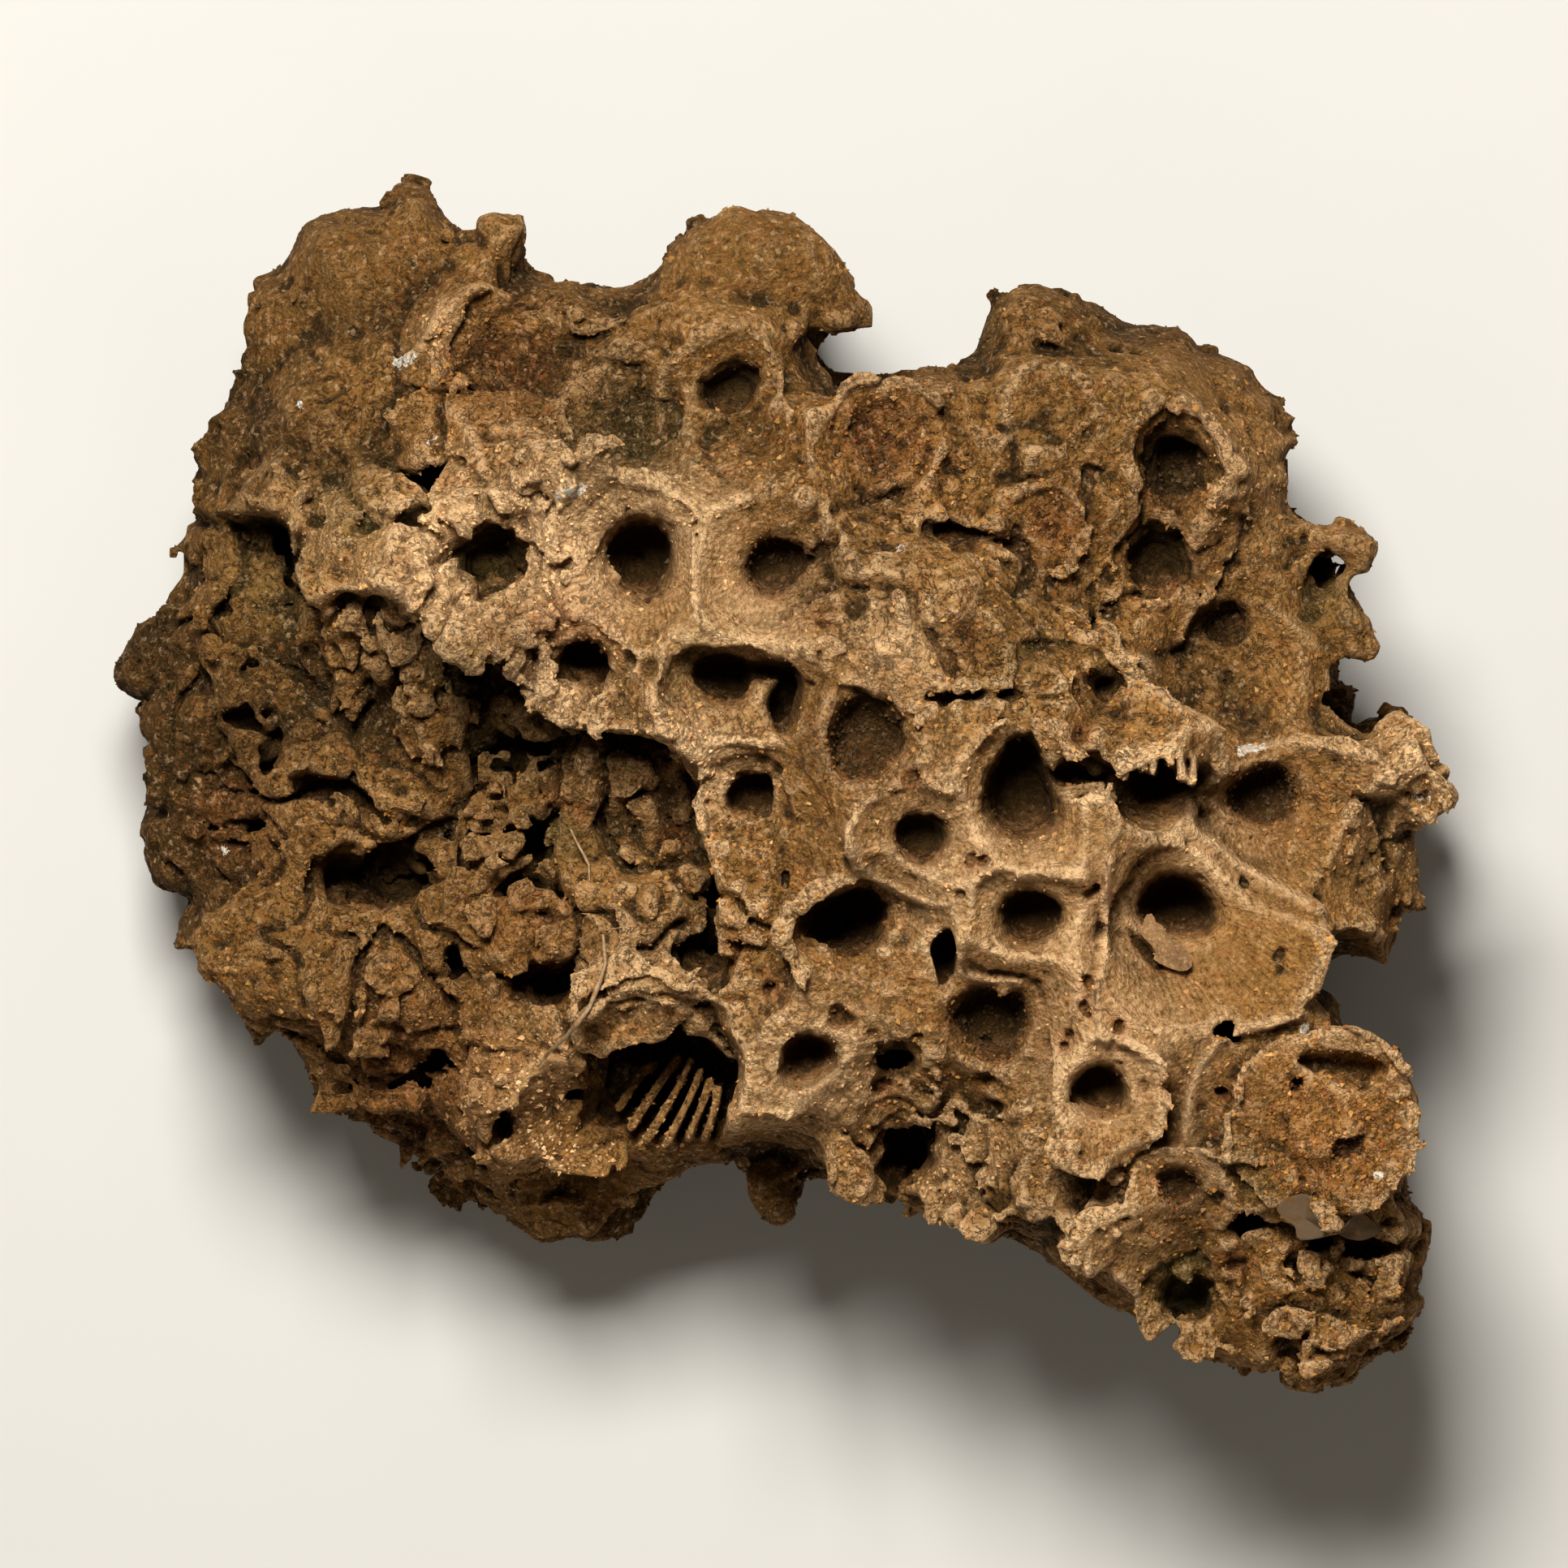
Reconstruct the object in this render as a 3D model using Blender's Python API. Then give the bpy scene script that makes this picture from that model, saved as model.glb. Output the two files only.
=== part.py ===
"""A fossil colonial rugose coral: one weathered block of cup-shaped calices, cut off flat beneath.

The block lies on its cut face with its calices up. X runs to the right of the photograph, Y up it and Z
towards the eye, and the origin is the middle of the cut face. The shape is worked out in millimetres, as
the distance of every point of a block of samples to the stone's surface, below zero inside the stone.
The finished mesh is in metres. Places in the plan are given in pixels of the photograph, across and down,
and every size, height and depth in millimetres.
"""

import math
from collections import namedtuple

import bpy
import numpy as np
import openvdb

# The driving size, and what turns the photograph's pixels into it
WIDTH = 90.0
LEFT_PX, RIGHT_PX = 142, 1790
MIDDLE_PX = (966, 965)
MM_PER_PX = WIDTH / (RIGHT_PX - LEFT_PX)
METRES = 0.001

# The sampled block and the mesh that is drawn through it
STEP = 0.6
BLOCK_LOW = (-49.0, -45.0, -4.0)
BLOCK_HIGH = (49.0, 45.0, 50.0)
FAR = 6.0
NEAR = 3.0
TRIANGLES = 9400
CUT_SNAP = 0.12

# The sides: widest at a share of the crown's height, and drawn in above it and below it up to a limit
WAIST_SHARE = 0.52
FOOT_INSET = 9.5
FOOT_CURVE = 1.7
SHOULDER_INSET = 2.2
BELOW_MOST, ABOVE_MOST = 1.2, 1.5
EDGE_ROUND = 2.4
OUTLINE_MARGIN, MARGIN_ROUND = 0.2, 0.6

# The wall of a calice: its thickness at the rim, its taper and how softly it leaves the block
WALL = 0.45
WALL_TAPER = 0.30
WALL_BLEND = 0.8
AXIS_TILT = 0.12
CUP_SINK = 0.9
FLUSH = 0.3

# A cup's section: its pit, as shares of the pit's radius and of the drop below the platform, then the lip of
# the pit, the middle of the platform, the steep rim and the open air beyond it
PIT_SECTION = ((0.55, 0.93), (0.76, 0.66), (0.87, 0.38), (0.96, 0.20), (1.08, 0.08))
LIP_WIDTH, LIP_FALL = 1.30, 0.96
MIDDLE_MOUTH, MIDDLE_PIT, MIDDLE_FALL = 0.55, 0.52, 0.55
PLATFORM_FALL = 0.55
RIM_WIDTH, RIM_RISE = 0.10, 0.55
OPEN_RUN, OPEN_RISE = 5.0, 5.0

# How far a cup strays from round: waves round it, how they shift from cup to cup, and their height
UNEVEN = ((2, 1.7, 0.06), (3, 2.3, 0.05))
CORNERS, CORNER_HEIGHT = 6, 0.05

# Weathering: lumps this wide in mm, and how high each kind stands
ROUGHNESS = ((9.0, 2.0), (4.5, 1.2), (2.4, 0.6))
WEAR, WEAR_SHARE = ((4.5, 0.5), (2.4, 0.45)), 0.7
NOISE_SEED, WEAR_SEED = 7, 19
FLUTE, FLUTE_DEPTH = (4.6, 4.6, 30.0), 4.5
FLUTE_FOOT, FLUTE_LEAST = 3.0, 0.25
GROWTH_BAND, BAND_DEPTH = (25.0, 25.0, 3.2), 1.6
FIRST_KNOT, SPARE_KNOTS = 1.5, 5

# Irregularity that cups, lumps and hollows share: lumps this wide in mm, how high, and each one's share
RAGGED = ((2.6, 2.0), (1.3, 1.3))
RAGGED_SEED = 61
CUP_SHARE, LUMP_SHARE, HOLLOW_SHARE = 0.08, 0.6, 1.0
NARROW = 1.5

# Cups guessed on the flanks, which the photograph doesn't show
FLANK_CUPS = 22
FLANK_SPAN = 8
FLANK_LOW, FLANK_RISE = 0.55, 0.55
FLANK_SET = 0.9
FLANK_LIFT = 0.35
FLANK_MOUTH, FLANK_SPREAD = 2.6, 1.6
FLANK_PIT, FLANK_DEPTH, FLANK_FALL = 0.45, 1.1, 0.35
GOLDEN = 0.618

# The chip in the great cup: its rim in the photograph, clockwise, and how it lies
FLAKE_RIM = (
    (1397, 1145), (1403, 1138), (1405, 1131), (1408, 1125), (1414, 1124), (1417, 1128), (1414, 1134),
    (1421, 1135), (1428, 1139), (1433, 1149), (1440, 1156), (1450, 1162), (1458, 1170), (1463, 1179),
    (1463, 1188), (1457, 1193), (1447, 1194), (1435, 1190), (1424, 1185), (1416, 1179), (1419, 1172),
    (1414, 1163), (1406, 1155),
)
FLAKE_SLOPE = (0.10, -0.15)
FLAKE_GAP = 0.3
FLAKE_THICK = 0.45
FLAKE_ARCH = 0.25
FLAKE_INNER, INNER_ARCH = 0.5, 0.7

COLOUR = (0.30, 0.152, 0.05, 1.0)
CHIP_COLOUR = (0.28, 0.16, 0.07, 1.0)
ROUGH = 0.92

Calice = namedtuple("Calice", "at pit_at mouth pit depth fall proud lean toward tall")
Blob = namedtuple("Blob", "at height size turn")


def calice(at, mouth, pit, depth, pit_at=None, fall=None, proud=0.4, lean=0.0, toward=0.0, tall=1.0):
    """A cup: mouth and pit are radii, and fall is how far the floor sinks from the rim to the pit's edge.

    The pit may lie off the middle of the mouth. The axis follows the slope of the crown a little, and
    lean tips it further, by degrees, toward a compass angle. Tall stretches the cup along Y.
    """
    fall = PLATFORM_FALL * (mouth - pit) if fall is None else fall
    return Calice(at, pit_at or at, mouth, pit, depth, fall, proud, lean, toward, tall)


# Where the stone is more broken than elsewhere: place, radius in mm and how much more
CRUMBLY = (
    ((560, 850), 8.0, 2.6), ((470, 1120), 10.0, 1.4), ((700, 1000), 7.0, 1.8), ((320, 900), 9.0, 1.5),
    ((820, 1150), 6.0, 2.4), ((560, 1360), 10.0, 1.6), ((1650, 1600), 8.0, 1.2), ((1180, 1440), 6.0, 1.2),
    ((600, 550), 8.0, 1.0), ((1390, 950), 4.0, 2.0), ((1720, 1000), 6.0, 1.2), ((400, 300), 9.0, 0.8),
    ((1300, 830), 6.0, 0.8), ((1350, 640), 9.0, 0.5), ((1080, 680), 7.0, 0.6), ((640, 560), 9.0, 0.5),
    ((780, 690), 9.0, -0.75), ((930, 760), 6.0, -0.6), ((1230, 1060), 12.0, -0.6), ((1480, 1150), 9.0, -0.7),
    ((990, 1320), 5.0, -0.6), ((1350, 1340), 6.0, -0.6), ((1600, 1010), 7.0, -0.6), ((1300, 1200), 6.0, -0.5),
    ((1040, 1440), 3.0, 1.2),
    ((925, 330), 7.0, -0.6), ((700, 830), 4.0, -0.5), ((1450, 470), 7.0, -0.3),
)

# The silhouette, from the north-west knob round by the east
OUTLINE = (
    (486, 227), (524, 228), (544, 262), (582, 284), (602, 260), (652, 267), (660, 290), (650, 332),
    (700, 334), (765, 341), (806, 318), (842, 286), (890, 260), (925, 252), (962, 262), (1010, 298),
    (1038, 334), (1066, 376), (1076, 404), (1058, 433), (1024, 438), (1030, 449), (1100, 448),
    (1160, 436), (1197, 426), (1218, 380), (1243, 344), (1305, 346), (1356, 380), (1388, 394),
    (1463, 405), (1484, 426), (1534, 446), (1554, 472), (1582, 490), (1592, 520), (1610, 530),
    (1615, 552), (1604, 568), (1615, 598), (1604, 615), (1628, 642), (1676, 653), (1691, 672),
    (1681, 703), (1664, 706), (1658, 728), (1676, 757), (1698, 787), (1716, 809), (1702, 824),
    (1704, 840), (1680, 857), (1666, 886), (1678, 897), (1700, 881), (1714, 866), (1744, 893),
    (1758, 926), (1776, 947), (1790, 990), (1756, 1002), (1745, 1042), (1761, 1098),
    (1771, 1132), (1727, 1128), (1722, 1165), (1708, 1199), (1650, 1176), (1622, 1206), (1656, 1228),
    (1668, 1256), (1716, 1296), (1745, 1342), (1750, 1392), (1745, 1445), (1736, 1468), (1757, 1500),
    (1752, 1550), (1738, 1588), (1751, 1606), (1735, 1638), (1718, 1665), (1698, 1669), (1660, 1700),
    (1586, 1704), (1580, 1668), (1560, 1687), (1500, 1675), (1464, 1671), (1446, 1658), (1456, 1640),
    (1450, 1612), (1430, 1628), (1413, 1647), (1392, 1634), (1350, 1600), (1292, 1556), (1242, 1520),
    (1210, 1527), (1160, 1500), (1105, 1498), (1060, 1474), (1003, 1462), (960, 1504), (925, 1480),
    (900, 1436), (856, 1431), (822, 1462), (790, 1506), (745, 1530), (700, 1518), (655, 1528),
    (604, 1482), (575, 1500), (535, 1494), (495, 1436), (461, 1400), (396, 1362), (386, 1316),
    (345, 1268), (314, 1286), (284, 1225), (214, 1187), (208, 1150), (222, 1112), (186, 1092),
    (165, 1011), (159, 962), (178, 925), (174, 872), (142, 829), (158, 795), (185, 742), (215, 710),
    (206, 690), (190, 676), (204, 655), (203, 636), (232, 604), (234, 540), (232, 499), (284, 458),
    (278, 396), (304, 337), (338, 320), (372, 270), (430, 256), (479, 250),
)

# The lie of the crown on its upper and its lower tier: across, down and the height over the cut face
UPPER_CROWN = (
    (450, 655, 33), (520, 690, 36), (600, 735, 38), (640, 790, 38), (770, 640, 41), (940, 600, 41),
    (720, 850, 39), (860, 885, 41), (1060, 800, 43), (1130, 960, 44), (1300, 1060, 44), (1440, 1000, 43),
    (1560, 1150, 41), (1340, 1290, 42), (1450, 1420, 39), (1610, 1370, 39), (1200, 1400, 39),
    (1040, 1240, 41), (920, 1330, 38), (890, 1050, 38), (905, 1200, 37), (1650, 1600, 36),
    (1480, 1640, 33), (1250, 1490, 38), (1390, 1570, 36), (1100, 500, 37), (1280, 500, 36),
    (1450, 560, 35), (1300, 380, 28), (1560, 470, 28), (1600, 700, 31), (1650, 830, 31), (1700, 980, 37),
    (1745, 940, 35), (1735, 1040, 34), (1690, 1125, 37), (1745, 1105, 31),
    (900, 430, 34), (920, 310, 27), (760, 420, 32), (640, 420, 32), (480, 320, 26),
    (400, 540, 29), (320, 400, 23), (250, 520, 22), (380, 640, 30), (950, 1470, 18),
    (1050, 1425, 36), (1110, 1490, 27),
)
LOWER_CROWN = (
    (215, 680, 20), (300, 700, 23), (180, 820, 18), (320, 820, 25), (420, 770, 29), (490, 770, 31),
    (545, 810, 30), (620, 860, 29), (560, 880, 30), (400, 940, 28), (660, 930, 28.4), (780, 950, 30.4),
    (800, 1010, 30), (190, 1010, 18), (600, 1080, 28), (470, 1080, 27), (380, 1190, 26), (240, 1160, 20),
    (800, 1110, 31), (740, 1210, 29), (860, 1230, 34), (650, 1370, 28), (820, 1340, 25), (450, 1300, 20),
    (520, 1430, 16), (700, 1500, 15),
)

# A curve round the lower tier, and how far in plan the step up from it takes
LOWER_TIER = (
    (60, 590), (200, 622), (270, 642), (330, 642), (360, 660), (370, 705), (392, 742), (432, 722),
    (500, 736), (545, 757), (580, 790), (628, 800), (655, 845), (690, 878), (742, 893), (800, 902),
    (836, 926), (860, 962), (870, 1010), (868, 1062), (884, 1095), (880, 1135), (892, 1190),
    (884, 1255), (906, 1310), (892, 1380), (880, 1440), (860, 1600), (60, 1620),
)
TIER_STEP = 1.5
CROWN_SOFTNESS, CROWN_FADE = 2.6, 2.5
SLOPE_REACH = 3.0

CALICES = {
    "west_spur": calice((606, 694), 3.6, 2.1, 7.0, pit_at=(608, 688), proud=0.5),
    "crest_great": calice((765, 700), 5.9, 2.6, 11.0, pit_at=(788, 695), fall=2.4),
    "crest_east": calice((942, 692), 5.2, 2.1, 6.5, pit_at=(955, 697), fall=2.4),
    "edge_small": calice((712, 832), 3.7, 1.7, 7.5, pit_at=(718, 822), proud=0.6),
    "broken_wide": calice((900, 868), 4.9, 2.3, 8.0, pit_at=(892, 836), fall=2.4, proud=0.3, tall=0.8),
    "red_floor": calice((1060, 918), 3.7, 2.9, 4.6, pit_at=(1062, 908), proud=0.3),
    "nibbled": calice((918, 990), 3.0, 1.4, 5.0, pit_at=(922, 980), proud=0.5),
    "middle_small": calice((1128, 1044), 4.4, 1.8, 6.0, pit_at=(1131, 1034), fall=1.7, proud=0.5),
    "middle_open": calice((1258, 988), 4.4, 2.8, 9.5, pit_at=(1256, 978), fall=1.2, proud=0.4, tall=1.15),
    "shadowed": calice((1062, 1160), 5.2, 2.8, 9.5, pit_at=(1043, 1132), fall=1.8, tall=0.8),
    "hexagon": calice((1268, 1146), 4.7, 2.0, 7.5, pit_at=(1265, 1130), fall=1.9, proud=0.5),
    "great_fan": calice((1494, 1150), 7.9, 2.6, 10.5, pit_at=(1447, 1116), fall=3.0, proud=0.5, tall=0.80),
    "twin_floor": calice((1220, 1272), 4.8, 3.0, 6.5, pit_at=(1217, 1260), proud=0.4, tall=0.88),
    "ringed": calice((991, 1318), 4.1, 1.9, 7.5, pit_at=(993, 1309), proud=2.1),
    "south_cup": calice((1352, 1360), 4.6, 1.9, 6.6, pit_at=(1350, 1342), proud=1.9),
    "south_button": calice((1450, 1474), 3.5, 1.7, 3.6, pit_at=(1448, 1466), proud=2.0),
    "drum": calice((1624, 1385), 6.7, 5.1, 2.2, fall=0.9, proud=3.0),
    "east_fan": calice((1597, 1008), 6.2, 2.3, 8.0, pit_at=(1560, 975), fall=2.8, proud=0.9, tall=0.95),
    "north_east_oval": calice((1446, 576), 2.6, 2.0, 7.0, fall=0.8, proud=0.4, tall=1.45),
    "east_shaded": calice((1430, 705), 2.9, 2.2, 5.4, pit_at=(1426, 692), proud=0.3, tall=0.9),
    "east_slope": calice((1535, 800), 4.4, 1.5, 3.6, pit_at=(1515, 768), fall=1.6, proud=0.3),
    "laminated": calice((1388, 860), 2.9, 0.9, 6.5, pit_at=(1360, 838), fall=1.4, proud=0.2),
    "faint_ring": calice((1288, 655), 2.8, 1.6, 1.2, proud=0.7),
    "rusty_bowl": calice((1090, 542), 3.9, 2.9, 2.6, proud=0.6),
    "filled_north": calice((1280, 503), 2.9, 1.9, 0.9, proud=0.5),
    "filled_middle": calice((1205, 790), 2.9, 2.2, 1.3, proud=0.2),
    "little_cup": calice((1057, 752), 2.6, 1.2, 2.0, pit_at=(1050, 745), proud=0.5),
    "filled_crest": calice((905, 578), 2.8, 2.0, 1.4, proud=0.5),
    "crescent": calice((890, 482), 3.7, 2.0, 5.2, pit_at=(902, 478), proud=0.8),
    "north_filled": calice((768, 505), 3.7, 2.6, 1.6, proud=0.5),
    "north_west_bowl": calice((638, 430), 4.8, 3.6, 2.2, fall=1.2, proud=0.3, tall=0.72),
    "spur_cup": calice((728, 1392), 5.0, 2.4, 4.6, pit_at=(760, 1380), fall=1.6, proud=1.2, tall=0.62),
    "window": calice((1115, 1430), 2.7, 2.2, 9.0, proud=0.6, tall=1.25),
    "green_throat": calice((1468, 1606), 3.7, 2.0, 6.0, pit_at=(1462, 1596), proud=1.5),
    "south_east_worn": calice((1668, 1600), 3.2, 2.0, 1.6, proud=0.0),
    "far_east": calice((1720, 1065), 2.8, 1.4, 2.6, proud=0.0),
}

# Lumps and plates that stand on the block: middle, height of it, half sizes along X, Y and Z, and a turn
LUMPS = {
    "north_dome": Blob((935, 345), 24.0, (6.6, 4.2, 7.4), 0),
    "dome_lip": Blob((935, 402), 25.5, (6.6, 1.2, 2.4), 0),
    "dome_tooth": Blob((1036, 400), 25.5, (2.2, 1.5, 4.0), 20),
    "dome_nodule": Blob((888, 374), 29.8, (0.9, 0.8, 1.0), 0),
    "dome_bead": Blob((861, 380), 29.4, (0.7, 0.7, 0.9), 0),
    "top_knob": Blob((512, 290), 20.0, (1.0, 1.8, 4.0), 10),
    "second_knob": Blob((620, 308), 22.0, (1.9, 2.1, 5.0), 0),
    "north_east_peak": Blob((1285, 410), 24.0, (3.2, 1.8, 5.5), 0),
    "east_horn": Blob((1640, 669), 27.0, (3.2, 1.7, 4.0), -18),
    "east_spike": Blob((1738, 948), 31.0, (2.4, 4.2, 5.5), 25),
    "west_ledge": Blob((470, 955), 28.0, (7.5, 2.4, 1.1), -16),
    "ledge_end": Blob((590, 985), 28.0, (3.4, 1.6, 1.1), 10),
    "second_ledge": Blob((470, 1025), 25.5, (4.6, 1.5, 1.0), -14),
    "middle_plate": Blob((598, 1072), 28.6, (3.6, 4.4, 1.4), 0),
    "plate_foot": Blob((625, 1140), 27.6, (2.0, 2.0, 1.2), 0),
    "south_mound": Blob((400, 1185), 23.5, (9.5, 4.4, 4.0), -12),
    "crumb_knob": Blob((808, 1104), 29.5, (4.0, 3.0, 4.0), 0),
    "south_ridge": Blob((862, 1222), 34.0, (5.6, 1.6, 3.0), -22),
    "torn_slope": Blob((500, 800), 29.0, (5.5, 4.0, 3.0), -38),
    "low_foot": Blob((700, 1480), 11.0, (7.5, 3.4, 5.0), 0),
    "hanging_tip": Blob((950, 1466), 15.0, (2.4, 3.2, 6.0), 0),
    "window_west": Blob((1038, 1432), 33.0, (1.7, 2.7, 5.0), 8),
    "window_east": Blob((1196, 1456), 32.5, (2.6, 4.4, 5.5), 12),
    "laminae": Blob((450, 1312), 17.5, (5.0, 2.8, 3.6), -20),
    "pale_lamina": Blob((413, 1276), 20.5, (1.2, 0.8, 1.2), -10),
    "south_shelf": Blob((1330, 1510), 36.0, (5.5, 3.0, 4.0), -38),
    "floor_chunk": Blob((1090, 1215), 40.0, (1.5, 1.4, 1.6), 0),
}
LUMP_BLEND, HOLLOW_ROUND = 1.6, 0.5

# Holes that are not calices, such as gaps between the tubes and undercuts below the broken edge
HOLLOWS = {
    "west_drop": Blob((354, 696), 22.0, (0.7, 1.9, 6.0), 4),
    "west_bowl": Blob((318, 688), 24.0, (2.0, 2.4, 1.8), 0),
    "ring_slit": Blob((1251, 655), 36.5, (0.4, 0.8, 2.0), 15),
    "slope_pit": Blob((1480, 765), 33.0, (0.9, 0.8, 3.0), 0),
    "lamina_pit": Blob((1386, 876), 35.0, (0.5, 0.8, 1.6), -20),
    "north_nick": Blob((1340, 533), 36.0, (0.7, 0.25, 1.4), 40),
    "slot": Blob((290, 1018), 21.5, (3.4, 0.8, 3.0), 5),
    "great_hollow": Blob((470, 1085), 25.5, (3.9, 2.0, 4.4), 12),
    "hollow_west": Blob((415, 1070), 25.0, (1.4, 1.3, 3.4), 30),
    "ledge_hollow": Blob((410, 978), 26.0, (2.8, 1.1, 2.6), -12),
    "undercut": Blob((758, 909), 33.0, (4.2, 1.4, 3.6), -8),
    "broad_hollow": Blob((790, 985), 31.5, (3.6, 2.0, 1.6), 0),
    "crack": Blob((662, 1030), 25.5, (0.7, 2.6, 4.0), 14),
    "crack_foot": Blob((655, 1110), 25.5, (0.6, 2.4, 3.5), -18),
    "plate_hole": Blob((621, 1385), 26.5, (0.45, 0.9, 4.0), 0),
    "bowl_hole": Blob((707, 1347), 26.0, (0.5, 0.5, 4.0), 0),
    "strata_shadow": Blob((500, 1332), 19.0, (3.0, 0.6, 3.0), -3),
    "west_shadow": Blob((325, 1232), 19.0, (2.4, 0.5, 3.0), -8),
    "small_black": Blob((763, 1183), 29.5, (0.6, 0.6, 3.0), 0),
    "bowl_end": Blob((708, 430), 31.0, (0.9, 1.1, 1.6), 0),
    "west_pit": Blob((300, 580), 25.0, (0.9, 1.8, 2.4), -25),
    "spur_pit": Blob((520, 635), 34.0, (1.1, 0.8, 3.0), 20),
    "root_hollow": Blob((700, 1214), 28.5, (3.0, 1.5, 6.0), 0),
    "layered_hollow": Blob((548, 1275), 19.0, (2.4, 3.4, 5.0), -20),
    "ribbed_hollow": Blob((812, 1327), 27.0, (5.8, 4.0, 7.4), -12),
    "north_gap": Blob((868, 1178), 31.0, (1.9, 1.5, 5.0), 0),
    "window_mouth": Blob((1116, 1488), 36.0, (1.9, 2.2, 8.0), 0),
    "chip_gap": Blob((1408, 1172), 38.0, (1.5, 0.35, 1.3), -50),
    "tube_gap": Blob((1164, 1178), 38.0, (0.8, 1.9, 4.5), -12),
    "square_gap": Blob((1105, 1304), 38.5, (1.1, 0.7, 4.0), 0),
    "drum_gap": Blob((1503, 1269), 38.5, (1.5, 0.7, 4.5), -5),
    "side_gap": Blob((966, 862), 38.5, (1.1, 2.5, 6.0), -10),
    "upper_gap": Blob((942, 830), 38.5, (2.0, 0.8, 5.0), 0),
    "jagged_gap": Blob((1412, 962), 39.0, (3.5, 1.6, 6.0), 4),
    "jagged_notch": Blob((1325, 953), 40.0, (1.8, 0.9, 4.0), 0),
    "open_peak": Blob((1253, 934), 40.0, (1.3, 1.7, 6.0), 0),
    "north_overhang": Blob((1170, 660), 38.0, (1.7, 0.6, 3.0), -10),
    "north_slit": Blob((1200, 672), 38.5, (1.6, 0.4, 2.4), 15),
    "horn_slot": Blob((1641, 701), 26.0, (1.2, 0.8, 4.0), 0),
    "film_cavity": Blob((1620, 1530), 33.0, (1.5, 1.0, 4.5), 0),
    "film_hole": Blob((1627, 1491), 35.0, (0.7, 0.6, 3.0), 0),
    "film_gap": Blob((1668, 1538), 34.0, (1.5, 0.7, 3.0), -5),
    "drum_slot": Blob((1645, 1310), 39.0, (3.2, 1.0, 2.4), -6),
    "north_shade": Blob((545, 605), 30.5, (0.9, 1.9, 3.0), 28),
    "torn_shade": Blob((585, 830), 30.0, (1.8, 1.1, 3.5), -35),
    "dark_pocket": Blob((625, 945), 27.0, (1.5, 1.2, 3.5), -20),
    "dark_slit": Blob((665, 930), 27.0, (0.5, 1.6, 3.5), 12),
    "west_pocket": Blob((292, 884), 23.5, (1.7, 0.8, 3.4), 0),
    "west_crack": Blob((335, 932), 24.0, (0.8, 1.7, 4.0), -14),
    "east_pocket": Blob((1593, 1560), 35.0, (0.6, 1.1, 3.0), 25),
    "pale_pocket": Blob((1533, 1500), 36.0, (1.2, 0.7, 3.0), 25),
    "south_pocket": Blob((1290, 1508), 36.0, (1.3, 0.8, 3.0), 0),
    "south_nick": Blob((1232, 1470), 38.0, (0.9, 0.7, 3.0), 0),
    "edge_pocket": Blob((1700, 1605), 35.0, (0.8, 0.7, 2.5), 0),
    "torn_pocket": Blob((545, 785), 31.0, (2.0, 0.8, 3.0), -20),
    "plate_gap": Blob((560, 1180), 26.0, (0.7, 1.4, 2.6), 15),
    "rim_pit": Blob((406, 1216), 23.0, (0.6, 0.6, 3.0), 0),
    "knob_gap": Blob((876, 1110), 33.0, (0.6, 2.2, 4.0), 10),
    "wall_crack": Blob((1200, 858), 42.0, (3.6, 0.35, 1.8), 3),
    "fan_slit": Blob((1372, 1150), 41.5, (0.3, 0.9, 1.4), 0),
}


def to_plan(place):
    """A place in the photograph, across and down in pixels, as X and Y in mm."""
    return (place[0] - MIDDLE_PX[0]) * MM_PER_PX, (MIDDLE_PX[1] - place[1]) * MM_PER_PX


def smooth_minimum(a, b, width):
    blend = np.clip(0.5 + 0.5 * (b - a) / width, 0.0, 1.0)
    return b + (a - b) * blend - width * blend * (1.0 - blend)


def smooth_maximum(a, b, width):
    return -smooth_minimum(-a, -b, width)


class Block:
    """Samples on a regular grid, each holding its distance to the stone's surface."""

    def __init__(self, step):
        self.step = step
        self.axes = [np.arange(low, high + step, step) for low, high in zip(BLOCK_LOW, BLOCK_HIGH)]
        self.distance = np.full([len(axis) for axis in self.axes], FAR, np.float32)

    def near(self, centre, reach):
        """The slices of the block within reach of a point, and the points' offsets from it."""
        spans = [
            slice(*np.searchsorted(axis, (middle - reach, middle + reach)))
            for axis, middle in zip(self.axes, centre)
        ]
        offsets = [axis[span] - middle for axis, span, middle in zip(self.axes, spans, centre)]
        x, y, z = np.meshgrid(*offsets, indexing="ij", sparse=True)
        return tuple(spans), x, y, z


def closed_curve(places, per_side=4):
    """Points on a smooth closed curve through the places, in mm."""
    corners = np.array([to_plan(place) for place in places])
    before, after, beyond = (np.roll(corners, -shift, axis=0) for shift in (-1, 1, 2))
    points = []
    for t in np.arange(per_side) / per_side:
        points.append(
            0.5 * (2 * corners + (after - before) * t
                   + (2 * before - 5 * corners + 4 * after - beyond) * t**2
                   + (3 * corners - before - 3 * after + beyond) * t**3)
        )
    return np.stack(points, axis=1).reshape(-1, 2)


def distance_to_outline(x, y, points):
    """Distance in plan to a closed curve, below zero inside it."""
    nearest = np.full(np.broadcast(x, y).shape, np.inf)
    inside = np.zeros(nearest.shape, bool)
    for start, end in zip(points, np.roll(points, -1, axis=0)):
        run = end - start
        along = np.clip(((x - start[0]) * run[0] + (y - start[1]) * run[1]) / (run @ run), 0.0, 1.0)
        gap = (x - start[0] - along * run[0]) ** 2 + (y - start[1] - along * run[1]) ** 2
        nearest = np.minimum(nearest, gap)
        if start[1] != end[1]:
            crosses = (start[1] > y) != (end[1] > y)
            inside ^= crosses & (x < start[0] + (y - start[1]) * run[0] / run[1])
    return np.where(inside, -1.0, 1.0) * np.sqrt(nearest)


EDGE = closed_curve(OUTLINE)
TIER_EDGE = closed_curve(LOWER_TIER)


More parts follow.
